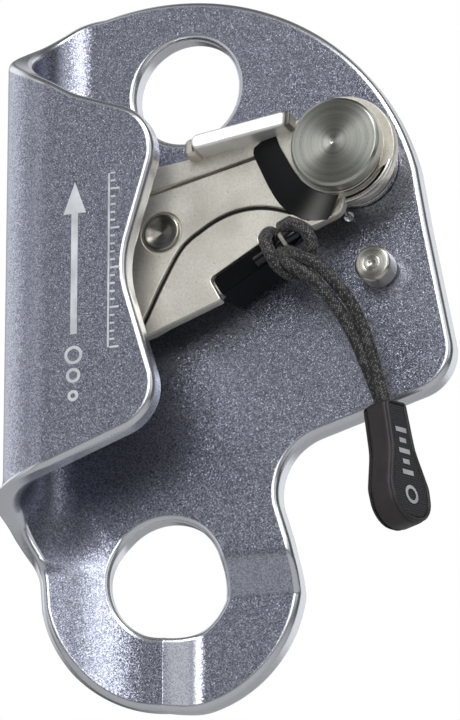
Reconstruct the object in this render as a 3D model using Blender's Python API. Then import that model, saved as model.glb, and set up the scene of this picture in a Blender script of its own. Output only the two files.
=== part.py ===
"""Camming rope clamp: a bent plate frame, a toothed cam on a headed axle, a catch and a pull cord.

Every length below is in millimetres; make_object() turns a finished mesh into metres.
X points right, Z up and -Y towards the front. The origin lies on the flat rear face of the
plate, about midway between the two eyes.
"""

import math

import bmesh
import bpy
from mathutils import Matrix, Vector

MM = 0.001
GAP = 0.3
RUNNING = 0.2
PIN_ROOM = 0.15
MERGE = 1e-4
SHARP_ANGLE = math.radians(30)

# Frame: one 4 mm plate, bent round the rope channel into the front flange
PLATE = 4.0
EDGE_ROUND = 0.7
CHANNEL_INNER = 7.0
CHANNEL_NEUTRAL = CHANNEL_INNER + PLATE / 2
CHANNEL_X = -14.7
BEND_COLUMNS = 15
FLANGE_START = CHANNEL_X - math.pi * CHANNEL_NEUTRAL

UPPER_EYE = (1.2, 40.6)
UPPER_EYE_R = 8.75
LOWER_EYE = (-2.2, -39.9)
LOWER_EYE_R = 9.3
LOBE_CENTRE = (-1.2, -40.6)
LOBE_R = 20.3
LOBE_FULLER = 1.1
TOP_CENTRE = (-3.0, 12.0)
TOP_R = 44.2

# Curl of the lower lobe, and the set-back of its lower right quarter
LOBE_CURL_X = -5.0
LOBE_CURL_R = 24.0
LOBE_CURL_ANGLE = 0.55
CURL_FROM_Z = -25.0
CURL_TO_Z = -39.0
SETBACK = 3.4
SETBACK_X = (-9.0, 1.8)
SETBACK_Z = (-35.5, -43.5)
SETBACK_POWER = 2.0
COLUMN_PITCH = 2.9
ROW_PITCH = 3.0
CUT_MERGE = 0.02
CUT_MATCH = 0.03
FLAT_NORMAL = 0.999

# Axle stack, from the plate forwards
PIVOT = (30.2, 23.8)
AXLE_R = 4.0
SLEEVE_R = 5.0
HEAD_R = 7.25
HEAD_Y = (-17.9, -14.3)
HEAD_DISH = 0.15
HEAD_BEVEL = ((0.9, 0.0), (0.2, 0.5), (0.0, 1.0))
FRONT_WASHER_Y = (-14.0, -13.3)
FRONT_WASHER_R = 7.5
REAR_WASHER_Y = (-5.3, -4.3)
REAR_WASHER_R = 6.8
AXLE_SLEEVE_Y = (-13.0, -5.6)
TAIL_RING_DEPTH = 1.4
TAIL_RING_R = 6.2
TAIL_RING_SEAT = 0.2
RING_EDGE = 0.15
SPRING_FOOT = (28.6, 15.9)
SPRING_HOLE_R = 0.8
SPRING_WIRE_R = 0.4
SPRING_COIL_R = 6.0
SPRING_COIL_Y = (-9.8, -7.95)
SPRING_COIL_TURNS = -1.54

# Cam, in its closed position
CAM_FRONT_Y = -12.5
CHEEK = 2.2
REAR_CHEEK_Y = (-7.4, -5.6)
RIM_Y = (-16.2, -6.0)
SPIRAL_R = 45.0
SPIRAL_RATE = 0.24
SPIRAL_FROM = math.radians(8.0)
SPIRAL_TO = math.radians(35.5)
RIM_DEPTH = 5.0
TOOTH_ROWS = 9
TOOTH_HEIGHT = 1.1
TOOTH_TIP_SHARE = 0.28
TOOTH_GROOVES = 3
GROOVE_STEPS = 14
GROOVE_OVERRUN = math.radians(3)
GROOVE_HALF = 0.9
ARC_GROOVE_R = 0.45
FRONT_HUB_R = 8.9
REAR_HUB_R = 6.8
LEVER_HUB_R = 7.3
LEVER_HUB_FRONT_Y = -12.9
LEDGE_FRONT_Y = -16.5
LEDGE_CHAMFER = 0.35
LEVER_CHAMFER = 0.2
CAM_RIVET = (0.4, 13.9)
CAM_RIVET_R = 1.6
CAM_RIVET_HEAD_R = 3.0
CAM_RIVET_REAR_Y = -8.9
RIVET_STAND = 0.35
COLLAR_R = 2.8
COLLAR_Y = (-10.0, -9.0)

# Catch, in the notch of the cam's lower edge
CATCH_PIN = (11.2, 4.0)
CATCH_TILT = math.radians(29.9)
CATCH_HALF = 1.7
CATCH_LENGTH = 7.4
CATCH_Y = (-12.5, -5.9)
CATCH_SLOT_Y = (-10.4, -7.2)
CATCH_SLOT_ALONG = (-4.0, 2.2)
CATCH_SLOT_HALF = 3.0
CATCH_ROOM = 0.35
CATCH_ROOM_ALONG = (-2.1, 16.0)
CATCH_ROOM_DEPTH = -6.0
CATCH_CHAMFER = 0.25
LUG_Y = (-10.1, -8.6)
NOSE_R = 0.85
NOSE_Y = -13.2
NOSE_LENGTH = 8.0
NOSE_DROP = 0.2
NOSE_ROOT = -1.5
NOSE_CAP_R = 1.5
NOSE_CAP_LENGTH = 0.45
NOSE_SLEEVE_R = 1.65
NOSE_SLEEVE_HALF = 0.42
CATCH_PIN_R = 0.75
CATCH_PIN_Y = (-11.3, -6.0)
PIN_HOLE_FRONT_Y = -11.6
CATCH_SPRING_R = 1.3
CATCH_SPRING_WIRE_R = 0.17
CATCH_SPRING_Y = (-8.25, -7.5)
CATCH_SPRING_TURNS = 1.5
CORD_R = 1.3
WRAP_R = 2.3
WRAPS_AT = (2.4, 6.1)
BRIDGE_R = 1.0
BRIDGE_BEHIND = 0.8
STRAND_APART = 1.15
STRAND_RISE = 0.35
NOTCH_ROOM = 1.3

# Stop peg
PEG = (33.8, 6.2)
PEG_R = 2.95
PEG_TOP_Y = -8.4
PEG_SHANK_R = 1.9
PEG_RING_R = 3.6
TAIL_Y = -0.1
PEG_DIMPLE = 0.1
PEG_EDGE = 0.15

# Cord and pull tab
CORD_END = (36.0, -9.7, -17.0)
TAB_TILT = math.radians(9.0)
TAB_YAW = math.radians(70.0)
TAB_DROP = 1.1
TAB_LENGTH = 19.4
TAB_THICK = 5.0
TAB_RECESS = 0.9
TAB_INSERT = 0.6
TAB_BORE_R = 1.5
TAB_BORE = (1.0, -7.0)
TAB_POCKET_INSET = 0.7
TAB_INSERT_INSET = 1.0
TAB_CHAMFER = 0.3
TAB_CUT = 1.0
KNOT_R = 1.2
KNOT_HEIGHTS = (-1.0, -2.0, -5.5, -6.4)


# ---------------------------------------------------------------- outlines


def arc(centre, radius, start, end, steps):
    """Points of an arc from start to end, in degrees, both ends included."""
    cx, cz = centre
    angles = [math.radians(start + (end - start) * i / steps) for i in range(steps + 1)]
    return [(cx + radius * math.cos(a), cz + radius * math.sin(a)) for a in angles]


def circle(centre, radius, steps):
    """Points of a whole circle, without the repeated last one."""
    return arc(centre, radius, 0, 360, steps)[:-1]


def rounded(corners, step=12.0):
    """Closed polygon whose corners (x, z, radius) are replaced by tangent arcs."""
    points = []
    count = len(corners)
    for i, (x, z, radius) in enumerate(corners):
        here = Vector((x, z))
        if radius <= 0:
            points.append((x, z))
            continue
        before = (Vector(corners[i - 1][:2]) - here).normalized()
        after = (Vector(corners[(i + 1) % count][:2]) - here).normalized()
        half = before.angle(after) / 2
        centre = here + (before + after).normalized() * radius / math.sin(half)
        first = here + before * radius / math.tan(half) - centre
        turn = math.pi - 2 * half
        side = 1 if before.x * after.y - before.y * after.x < 0 else -1
        steps = max(2, round(math.degrees(turn) / step))
        for k in range(steps + 1):
            spin = Matrix.Rotation(side * turn * k / steps, 2)
            points.append(tuple(centre + spin @ first))
    return points


def local(origin, tilt, along, across):
    """Point in the XZ plane from a tilted pair of axes: along the tilt, and to its left."""
    x = origin[0] + along * math.cos(tilt) - across * math.sin(tilt)
    z = origin[1] + along * math.sin(tilt) + across * math.cos(tilt)
    return x, z


# ---------------------------------------------------------------- meshes


def prism(outline, y_front, y_rear, chamfer=0.0):
    """Closed body: the XZ outline between two Y planes, with a chamfer on its front and rear edges."""
    levels = [(y_front, 0.0), (y_rear, 0.0)]
    if chamfer:
        levels = [
            (y_front, chamfer),
            (y_front + chamfer, 0.0),
            (y_rear - chamfer, 0.0),
            (y_rear, chamfer),
        ]
    bm = bmesh.new()
    rings = []
    for y, inset in levels:
        shape = inset_outline(outline, inset) if inset else outline
        rings.append([bm.verts.new((x, y, z)) for x, z in shape])
    skin_rings(bm, rings)
    return bm


def inset_outline(outline, distance):
    """Outline moved inwards (or outwards, if distance is negative) along its corner normals."""
    count = len(outline)
    area = sum(
        outline[i - 1][0] * outline[i][1] - outline[i][0] * outline[i - 1][1] for i in range(count)
    )
    side = 1 if area > 0 else -1
    moved = []
    for i in range(count):
        a = Vector(outline[i - 1])
        b = Vector(outline[i])
        c = Vector(outline[(i + 1) % count])
        n1 = Vector((-(b - a).y, (b - a).x)).normalized()
        n2 = Vector((-(c - b).y, (c - b).x)).normalized()
        mid = (n1 + n2).normalized()
        reach = distance / max(0.5, mid.dot(n1))
        moved.append(tuple(b + mid * reach * side))
    return moved


def skin_rings(bm, rings, closed=False):
    """Faces between successive rings of vertices, with end caps unless the rings close up."""
    pairs = list(zip(rings, rings[1:]))
    if closed:
        pairs.append((rings[-1], rings[0]))
    for low, high in pairs:
        for i in range(len(low)):
            j = (i + 1) % len(low)
            bm.faces.new((low[i], low[j], high[j], high[i]))
    if not closed:
        bm.faces.new(rings[0])
        bm.faces.new(rings[-1])
    bmesh.ops.recalc_face_normals(bm, faces=bm.faces)


def lathe(profile, centre, steps=32):
    """Body turned about a Y axis through centre, from a closed profile of (radius, y) points."""
    cx, cz = centre
    bm = bmesh.new()
    closed = min(radius for radius, _ in profile) > 0
    rings = []
    for i in range(steps):
        a = 2 * math.pi * i / steps
        ring = [(cx + r * math.cos(a), y, cz + r * math.sin(a)) for r, y in profile]
        rings.append([bm.verts.new(p) for p in ring])
    count = len(profile)
    spans = range(count) if closed else range(count - 1)
    for low, high in zip(rings, rings[1:] + rings[:1]):
        for k in spans:
            m = (k + 1) % count
            bm.faces.new((low[k], low[m], high[m], high[k]))
    bmesh.ops.remove_doubles(bm, verts=bm.verts, dist=MERGE)
    bmesh.ops.dissolve_degenerate(bm, edges=bm.edges, dist=MERGE)
    bmesh.ops.recalc_face_normals(bm, faces=bm.faces)
    return bm


def tube(path, radius, sides=10, closed=False):
    """Round bar swept along a path of points."""
    points = [Vector(p) for p in path]
    count = len(points)
    bm = bmesh.new()
    rings = []
    normal = None
    for i, point in enumerate(points):
        ahead = points[(i + 1) % count] if closed or i < count - 1 else point
        behind = points[i - 1] if closed or i > 0 else point
        tangent = (ahead - behind).normalized()
        if normal is None:
            normal = tangent.orthogonal()
        normal = (normal - tangent * normal.dot(tangent)).normalized()
        binormal = tangent.cross(normal)
        ring = []
        for k in range(sides):
            a = 2 * math.pi * k / sides
            offset = normal * math.cos(a) * radius + binormal * math.sin(a) * radius
            ring.append(bm.verts.new(point + offset))
        rings.append(ring)
    skin_rings(bm, rings, closed)
    return bm


def drill(radius, centre, sides, y_front=-20.0):
    """Round bar along Y, from y_front to the plate's rear face, for cutting a bore."""
    return lathe([(0, y_front), (radius, y_front), (radius, 0), (0, 0)], centre, sides)


def smooth_path(anchors, steps):
    """Catmull-Rom curve through anchor points, with steps points to each span."""
    points = [Vector(a) for a in anchors]
    ends = [points[0] * 2 - points[1]] + points + [points[-1] * 2 - points[-2]]
    curve = []
    for a, b, c, d in zip(ends, ends[1:], ends[2:], ends[3:]):
        for k in range(steps):
            t = k / steps
            pull = (c - a) * t + (a * 2 - b * 5 + c * 4 - d) * t * t
            curve.append(b + (pull + (b * 3 - a - c * 3 + d) * t * t * t) / 2)
    curve.append(points[-1])
    return curve


# ---------------------------------------------------------------- objects


def material(name, colour, roughness, metallic):
    """Principled material of one colour."""
    made = bpy.data.materials.new(name)
    made.use_nodes = True
    surface = made.node_tree.nodes["Principled BSDF"]
    surface.inputs["Base Color"].default_value = (*colour, 1.0)
    surface.inputs["Roughness"].default_value = roughness
    surface.inputs["Metallic"].default_value = metallic
    made.diffuse_color = (*colour, 1.0)
    return made


def make_object(name, bm, look, origin=(0.0, 0.0, 0.0)):
    """Object from a mesh in millimetres, with its own origin, in metres."""
    shift = Matrix.Translation(-Vector(origin))
    bmesh.ops.transform(bm, matrix=Matrix.Scale(MM, 4) @ shift, verts=bm.verts)
    bmesh.ops.triangulate(bm, faces=bm.faces)
    mesh = bpy.data.meshes.new(name)
    bm.to_mesh(mesh)
    bm.free()
    mesh.materials.append(look)
    mesh.shade_smooth()
    mesh.set_sharp_from_angle(angle=SHARP_ANGLE)
    made = bpy.data.objects.new(name, mesh)
    made.location = Vector(origin) * MM
    bpy.context.scene.collection.objects.link(made)
    return made


def combine(name, base, others, look, origin=(0.0, 0.0, 0.0)):
    """Object made of a base mesh with others joined to it ("UNION") or cut out ("DIFFERENCE")."""
    made = make_object(name, base, look, origin)
    for index, (operation, bm) in enumerate(others):
        guide = make_object(f"{name}_guide_{index}", bm, look, origin)
        guide.hide_render = True
        guide.display_type = "WIRE"
        step = made.modifiers.new(f"{operation.lower()}_{index}", "BOOLEAN")
        step.operation = operation
        step.solver = "EXACT"
        step.object = guide
    return made


# ---------------------------------------------------------------- frame


def frame_outline():
    """Outline of the flat plate before bending, clockwise from the top of the channel."""
    flange = [
        (FLANGE_START - 3.7, 35.6, 12.0),
        (FLANGE_START - 19.1, 29.8, 8.5),
        (FLANGE_START - 12.1, 6.0, 16.0),
        (FLANGE_START - 19.3, -18.4, 7.5),
        (FLANGE_START - 2.7, -24.4, 14.0),
        (CHANNEL_X - 14.0, -30.3, 7.0),
        (CHANNEL_X - 8.5, -37.5, 5.0),
    ]
    lobe = []
    for x, z in arc(LOBE_CENTRE, LOBE_R, 172, 376.5, 32):
        left = max(0.0, (LOBE_CENTRE[0] - x) / LOBE_R)
        lobe.append((x - LOBE_FULLER * left, z))
    right = [(14.2, -21.6, 9.0), (46.3, -12.4, 7.0), (41.3, 14.0, 14.0)]
    top = arc(TOP_CENTRE, TOP_R, 14, 103, 16)
    shoulder = [(CHANNEL_X - 2.5, 54.8, 10.0)]
    corners = flange + [(x, z, 0.0) for x, z in lobe] + right
    corners += [(x, z, 0.0) for x, z in top] + shoulder
    return rounded(corners, 14.0)


def edge_levels():
    """Depth and inset of each ring of a rounded plate edge, from the rear face to the front face."""
    return [
        (0.0, EDGE_ROUND),
        (-EDGE_ROUND, 0.0),
        (-PLATE + EDGE_ROUND, 0.0),
        (-PLATE, EDGE_ROUND),
    ]


def frame_holes():
    """Each hole's centre, number of sides, and depth and radius of each of its rings."""

    def eye(radius):
        return [(y, radius + inset) for y, inset in edge_levels()]

    def stepped(outer, inner):
        floor = -TAIL_RING_DEPTH - TAIL_RING_SEAT
        return [(0.0, outer), (floor, outer), (floor, inner), (-PLATE, inner)]

    return [
        (UPPER_EYE, 32, eye(UPPER_EYE_R)),
        (LOWER_EYE, 32, eye(LOWER_EYE_R)),
        (PIVOT, 28, stepped(TAIL_RING_R + GAP, AXLE_R + GAP)),
        (PEG, 20, stepped(PEG_RING_R + GAP, PEG_SHANK_R + GAP)),
        (SPRING_FOOT, 12, [(0.0, SPRING_HOLE_R), (-PLATE, SPRING_HOLE_R)]),
    ]


def ease(t):
    """Smooth step from 0 to 1."""
    t = min(1.0, max(0.0, t))
    return t * t * (3 - 2 * t)


def flat_frame():
    """The plate before bending: X along its developed length, Y through it, rounded edges."""
    bm = bmesh.new()
    outline = frame_outline()
    stacks = [[(y, inset_outline(outline, inset)) for y, inset in edge_levels()]]
    for centre, sides, levels in frame_holes():
        stacks.append([(y, circle(centre, radius, sides)) for y, radius in levels])
    rims = {0.0: [], -PLATE: []}
    for stack in stacks:
        rings = [[bm.verts.new((x, y, z)) for x, z in shape] for y, shape in stack]
        for low, high in zip(rings, rings[1:]):
            for i in range(len(low)):
                j = (i + 1) % len(low)
                bm.faces.new((low[i], low[j], high[j], high[i]))
        for y, ring in ((0.0, rings[0]), (-PLATE, rings[-1])):
            rims[y] += [bm.edges.get((ring[i - 1], ring[i])) for i in range(len(ring))]
    for edges in rims.values():
        bmesh.ops.triangle_fill(bm, use_beauty=True, use_dissolve=False, edges=edges)
    bmesh.ops.recalc_face_normals(bm, faces=bm.faces)
    return bm


def frame_columns():
    """Places along the developed plate where its faces are cut, so that they can bend."""
    bend = [
        CHANNEL_X - math.pi * CHANNEL_NEUTRAL * i / BEND_COLUMNS for i in range(BEND_COLUMNS + 1)
    ]
    lobe = [CHANNEL_X + COLUMN_PITCH * i for i in range(1, 6)] + [SETBACK_X[1], SETBACK_X[1] + 0.5]
    flat = [7.0, 13.0, PIVOT[0], PEG[0]]
    return bend + lobe + flat


def frame_rows():
    """Heights at which the plate's faces are cut."""
    rows = [CURL_FROM_Z - ROW_PITCH * i for i in range(0, 12)]
    return rows + [SETBACK_Z[1], SETBACK_Z[1] - 0.5, UPPER_EYE[1], PEG[1], PIVOT[1]]


def cut_frame(bm):
    """Cuts the plate at its columns and rows, and merges what lies between them into whole faces."""
    columns = frame_columns()
    rows = frame_rows()
    cuts = [((x, 0, 0), (1, 0, 0)) for x in columns] + [((0, 0, z), (0, 0, 1)) for z in rows]
    for point, normal in cuts:
        parts = list(bm.verts) + list(bm.edges) + list(bm.faces)
        bmesh.ops.bisect_plane(bm, geom=parts, dist=CUT_MERGE, plane_co=point, plane_no=normal)

    def on_cut(edge):
        a, b = (vert.co for vert in edge.verts)
        along_x = any(abs(a.x - x) < CUT_MATCH and abs(b.x - x) < CUT_MATCH for x in columns)
        return along_x or any(abs(a.z - z) < CUT_MATCH and abs(b.z - z) < CUT_MATCH for z in rows)

    loose = []
    for edge in bm.edges:
        faces = edge.link_faces
        if all(abs(face.normal.y) > FLAT_NORMAL for face in faces) and not on_cut(edge):
            loose.append(edge)
    bmesh.ops.dissolve_edges(bm, edges=loose, use_verts=False)


def bend_frame(bm):
    """Moves every vertex from the flat plate to the bent one."""
    for vert in bm.verts:
        length, depth, z = vert.co
        change = ease((CURL_FROM_Z - z) / (CURL_FROM_Z - CURL_TO_Z))
        start = CHANNEL_X + (LOBE_CURL_X - CHANNEL_X) * change
        radius = CHANNEL_NEUTRAL + (LOBE_CURL_R - CHANNEL_NEUTRAL) * change
        limit = math.pi + (LOBE_CURL_ANGLE - math.pi) * change
        past = max(0.0, start - length)
        angle = min(past / radius, limit)
        straight = past - radius * angle
        x = start - radius * math.sin(angle) - straight * math.cos(angle)
        y = -PLATE / 2 - radius * (1 - math.cos(angle)) - straight * math.sin(angle)
        if past == 0.0:
            x = length
        outward = PLATE / 2 + depth
        x -= math.sin(angle) * outward
        y += math.cos(angle) * outward
        right = min(1.0, max(0.0, (length - SETBACK_X[0]) / (SETBACK_X[1] - SETBACK_X[0])))
        low = min(1.0, max(0.0, (z - SETBACK_Z[0]) / (SETBACK_Z[1] - SETBACK_Z[0])))
        y += SETBACK * right**SETBACK_POWER * low**SETBACK_POWER
        vert.co = (x, y, z)


def frame_shell(look):
    """The whole bent plate, with its holes."""
    bm = flat_frame()
    cut_frame(bm)
    bend_frame(bm)
    bmesh.ops.recalc_face_normals(bm, faces=bm.faces)
    make_object("frame_shell", bm, look)


# ---------------------------------------------------------------- axle and peg


def axle_stack(steel, bright, dark):
    """Headed axle with its washers, the cam's bearing sleeve and the riveted ring at its tail."""
    head_front, head_rear = HEAD_Y
    profile = [
        (0.0, head_front + HEAD_DISH),
        *[(HEAD_R - inset, head_front + depth) for inset, depth in HEAD_BEVEL],
        (HEAD_R, head_rear),
        (AXLE_R, head_rear),
        (AXLE_R, TAIL_Y - 0.5),
        (AXLE_R - 0.6, TAIL_Y),
        (0.0, TAIL_Y),
    ]
    make_object("main_axle", lathe(profile, PIVOT, 40), steel, (PIVOT[0], 0, PIVOT[1]))
    rings = [
        ("front_washer", AXLE_R + GAP, FRONT_WASHER_R, FRONT_WASHER_Y, bright),
        ("rear_washer", AXLE_R + GAP, REAR_WASHER_R, REAR_WASHER_Y, bright),
        ("axle_sleeve", AXLE_R + RUNNING, SLEEVE_R, AXLE_SLEEVE_Y, dark),
        ("axle_tail_ring", AXLE_R + RUNNING, TAIL_RING_R, (-TAIL_RING_DEPTH, TAIL_Y), steel),
    ]
    for name, inner, outer, (front, rear), look in rings:
        section = [
            (inner, front),
            (outer - RING_EDGE, front),
            (outer, front + RING_EDGE),
            (outer, rear - RING_EDGE),
            (outer - RING_EDGE, rear),
            (inner, rear),
        ]
        make_object(name, lathe(section, PIVOT, 36), look, (PIVOT[0], 0, PIVOT[1]))


def stop_peg(steel):
    """Shouldered peg that stops the cam, and the ring its tail is riveted over."""
    top = PEG_TOP_Y
    profile = [
        (0.0, top + PEG_DIMPLE),
        (0.45, top + PEG_DIMPLE),
        (0.6, top),
        (PEG_R - 0.6, top),
        (PEG_R - 0.15, top + 0.35),
        (PEG_R, top + 0.7),
        (PEG_R, -PLATE - GAP),
        (PEG_SHANK_R, -PLATE - GAP),
        (PEG_SHANK_R, TAIL_Y - 0.4),
        (PEG_SHANK_R - 0.4, TAIL_Y),
        (0.0, TAIL_Y),
    ]
    make_object("stop_peg", lathe(profile, PEG, 28), steel, (PEG[0], 0, PEG[1]))
    inner = PEG_SHANK_R + RUNNING
    section = [
        (inner, -TAIL_RING_DEPTH),
        (PEG_RING_R, -TAIL_RING_DEPTH),
        (PEG_RING_R, TAIL_Y - PEG_EDGE),
        (PEG_RING_R - PEG_EDGE, TAIL_Y),
        (inner, TAIL_Y),
    ]
    make_object("peg_tail_ring", lathe(section, PEG, 24), steel, (PEG[0], 0, PEG[1]))


# ---------------------------------------------------------------- cam


def spiral(angle, inset=0.0):
    """Point of the cam's gripping face, at an angle below the level line to the left."""
    radius = SPIRAL_R * math.exp(SPIRAL_RATE * angle) - inset
    return PIVOT[0] - radius * math.cos(angle), PIVOT[1] - radius * math.sin(angle)


def toothed_face():
    """Saw-tooth line along the spiral, from its lower end to its upper end."""
    points = []
    span = SPIRAL_TO - SPIRAL_FROM
    for i in range(TOOTH_ROWS):
        low = SPIRAL_TO - span * i / TOOTH_ROWS
        tip = low - span * TOOTH_TIP_SHARE / TOOTH_ROWS
        points.append(spiral(low, TOOTH_HEIGHT))
        points.append(spiral(tip, 0.0))
    points.append(spiral(SPIRAL_FROM, TOOTH_HEIGHT))
    return points


def tooth_groove(y):
    """V-shaped bar that follows the spiral and parts the tooth ridges into points."""
    bm = bmesh.new()
    rings = []
    span = SPIRAL_TO - SPIRAL_FROM + 2 * GROOVE_OVERRUN
    for i in range(GROOVE_STEPS + 1):
        angle = SPIRAL_FROM - GROOVE_OVERRUN + span * i / GROOVE_STEPS
        root = spiral(angle, TOOTH_HEIGHT * 0.9)
        outer = spiral(angle, -0.6)
        ring = [
            (root[0], y, root[1]),
            (outer[0], y - GROOVE_HALF, outer[1]),
            (outer[0], y + GROOVE_HALF, outer[1]),
        ]
        rings.append([bm.verts.new(p) for p in ring])
    skin_rings(bm, rings)
    return bm


def cheek_outline():
    """Front cheek: from the hub along the seam to the teeth, and back along the notched edge."""
    seam = [(20.5, 25.1, 0.0), (-12.6, 17.6, 0.0)]
    face = [(*spiral(a, RIM_DEPTH * 0.6), 0.0) for a in (SPIRAL_FROM, 0.3, 0.45, SPIRAL_TO)]
    lower = [
        (-1.6, -2.7, 0.0),
        (*local(CATCH_PIN, CATCH_TILT, -2.3, -1.9), 0.0),
        (*local(CATCH_PIN, CATCH_TILT, CATCH_ROOM_ALONG[0], CATCH_HALF + CATCH_ROOM), 0.8),
        (*local(CATCH_PIN, CATCH_TILT, CATCH_LENGTH, CATCH_HALF + CATCH_ROOM), 0.3),
        (*nose_point(0.0, WRAP_R + CORD_R + NOTCH_ROOM), 0.4),
        (*nose_point(7.2, WRAP_R + CORD_R + NOTCH_ROOM), 1.6),
        (*nose_point(8.5, 0.6), 0.8),
        (*nose_point(8.7, -0.1), 0.3),
        (30.8, 13.9, 2.5),
    ]
    hub = [(x, z, 0.0) for x, z in arc(PIVOT, FRONT_HUB_R, -38, 100, 14)]
    return rounded(seam + face + lower + hub)


def rim_outline():
    """Toothed band of the cam, between the teeth and the inner line of the rim."""
    outer = toothed_face()
    steps = 6
    angles = [SPIRAL_FROM + (SPIRAL_TO - SPIRAL_FROM) * i / steps for i in range(steps + 1)]
    inner = [spiral(a, RIM_DEPTH) for a in angles]
    return outer + inner


def arc_groove():
    """Shallow step line that arches across the front cheek."""
    anchors = [
        (-4.5, -4.2),
        (-2.2, -0.2),
        (0.6, 5.5),
        (3.8, 10.9),
        (7.2, 13.5),
        (10.5, 15.2),
        (13.9, 16.0),
        (17.5, 15.9),
        (19.5, 15.4),
    ]
    path = smooth_path([(x, CAM_FRONT_Y, z) for x, z in anchors], 3)
    return tube(path, ARC_GROOVE_R, 6)


def cam_body(look):
    """Front cheek, toothed rim, web and rear arm in one casting, cut out for the catch."""
    rear_arm = rounded([
        (*spiral(SPIRAL_FROM + 0.01, 3.6), 0.0),
        (*spiral(0.36, 3.6), 0.0),
        (4.0, 9.0, 6.0),
        (22.6, 18.4, 0.0),
        *[(x, z, 0.0) for x, z in arc(PIVOT, REAR_HUB_R, -138, 104, 22)],
    ])
    web = rounded([
        (*spiral(0.35, 3.3), 0.0),
        (*spiral(SPIRAL_TO - 0.01, 3.4), 0.0),
        (-1.7, -2.1, 0.0),
        *[(x, z, 0.0) for x, z in arc(CATCH_PIN, 1.6, -60, 90, 6)],
        (2.0, 8.0, 3.0),
    ])
    others = [
        ("UNION", prism(rim_outline(), *RIM_Y)),
        ("UNION", prism(web, CAM_FRONT_Y + 1.0, LUG_Y[1])),
        ("UNION", prism(rear_arm, *REAR_CHEEK_Y)),
    ]
    near, far = CATCH_ROOM_ALONG
    catch_room = prism(
        rounded([
            (*local(CATCH_PIN, CATCH_TILT, near, CATCH_ROOM_DEPTH), 0.0),
            (*local(CATCH_PIN, CATCH_TILT, near, CATCH_HALF + CATCH_ROOM), 0.8),
            (*local(CATCH_PIN, CATCH_TILT, far, CATCH_HALF + CATCH_ROOM), 0.0),
            (*local(CATCH_PIN, CATCH_TILT, far, CATCH_ROOM_DEPTH), 0.0),
        ]),
        CATCH_Y[0] - 1.0,
        CATCH_SLOT_Y[0] + 0.3,
    )
    others.append(("DIFFERENCE", catch_room))
    bores = [
        (SLEEVE_R + RUNNING, PIVOT, 28),
        (CATCH_PIN_R + PIN_ROOM, CATCH_PIN, 12),
        (CAM_RIVET_R + RUNNING, CAM_RIVET, 24),
    ]
    others += [("DIFFERENCE", drill(radius, centre, sides)) for radius, centre, sides in bores]
    for i in range(TOOTH_GROOVES):
        share = (i + 1) / (TOOTH_GROOVES + 1)
        others.append(("DIFFERENCE", tooth_groove(RIM_Y[0] + (RIM_Y[1] - RIM_Y[0]) * share)))
    others.append(("DIFFERENCE", arc_groove()))
    base = prism(cheek_outline(), CAM_FRONT_Y, CAM_FRONT_Y + CHEEK)
    combine("cam_body", base, others, look, (PIVOT[0], 0, PIVOT[1]))


def cam_rivet(look):
    """Dished rivet through the front cheek, with the collar behind it."""
    front = CAM_FRONT_Y - RIVET_STAND
    profile = [
        (0.0, front + 0.45),
        (1.6, front + 0.2),
        (CAM_RIVET_HEAD_R - 0.5, front),
        (CAM_RIVET_HEAD_R - 0.1, front + 0.12),
        (CAM_RIVET_HEAD_R, CAM_FRONT_Y - 0.02),
        (CAM_RIVET_R, CAM_FRONT_Y - 0.02),
        (CAM_RIVET_R, CAM_RIVET_REAR_Y),
        (0.0, CAM_RIVET_REAR_Y),
    ]
    origin = (CAM_RIVET[0], 0, CAM_RIVET[1])
    make_object("cam_rivet", lathe(profile, CAM_RIVET, 28), look, origin)
    front, rear = COLLAR_Y
    ring = [
        (CAM_RIVET_R + RUNNING, front),
        (COLLAR_R, front),
        (COLLAR_R, rear - 0.2),
        (COLLAR_R - 0.2, rear),
        (CAM_RIVET_R + RUNNING, rear),
    ]
    make_object("cam_rivet_collar", lathe(ring, CAM_RIVET, 24), look, origin)


def thumb_lever(look):
    """Upper web with the ledge, and the raised hub that hangs on the axle sleeve."""
    origin = (PIVOT[0], 0, PIVOT[1])
    web_outline = rounded([
        (-12.4, 17.9 + GAP, 0.0),
        (19.5, 25.2 + GAP, 0.0),
        (20.8, 30.2, 2.0),
        (6.2, 28.4, 1.5),
        (5.2, 25.6, 0.8),
        (-10.0, 23.4, 2.0),
    ])
    base = prism(web_outline, CAM_FRONT_Y, CAM_FRONT_Y + CHEEK, LEVER_CHAMFER)
    ledge = prism(
        rounded([(7.0, 25.5, 0.8), (22.3, 27.6, 0.5), (22.5, 30.1, 0.7), (6.6, 27.9, 1.0)]),
        LEDGE_FRONT_Y,
        CAM_FRONT_Y + CHEEK - LEVER_CHAMFER,
        LEDGE_CHAMFER,
    )
    hub_edge = [(x, z, 0.0) for x, z in arc(PIVOT, LEVER_HUB_R, -92, 96, 18)]
    hub = prism(
        rounded([(18.2, 30.0, 1.0), (22.2, 21.6, 1.5), (26.4, 16.6, 3.0), *hub_edge]),
        LEVER_HUB_FRONT_Y,
        CAM_FRONT_Y - GAP + 0.1,
        0.1,
    )
    joint = prism(
        rounded([(18.4, 29.8, 0.8), (19.3, 26.3, 0.2), (21.6, 27.2, 0.2), (22.0, 30.2, 0.8)]),
        LEVER_HUB_FRONT_Y,
        CAM_FRONT_Y + CHEEK - 0.3,
    )
    bore = drill(SLEEVE_R + RUNNING, PIVOT, 28)
    others = [("UNION", ledge), ("UNION", hub), ("UNION", joint), ("DIFFERENCE", bore)]
    combine("thumb_lever", base, others, look, origin)


def coil(centre, radius, y_from, y_to, start, turns):
    """Centre line of a helix about a Y axis; negative turns run clockwise seen from the front."""
    points = []
    steps = round(abs(turns) * 16)
    for i in range(steps + 1):
        a = math.radians(start) + 2 * math.pi * turns * i / steps
        y = y_from + (y_to - y_from) * i / steps
        points.append((centre[0] + radius * math.cos(a), y, centre[1] + radius * math.sin(a)))
    return points


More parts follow.
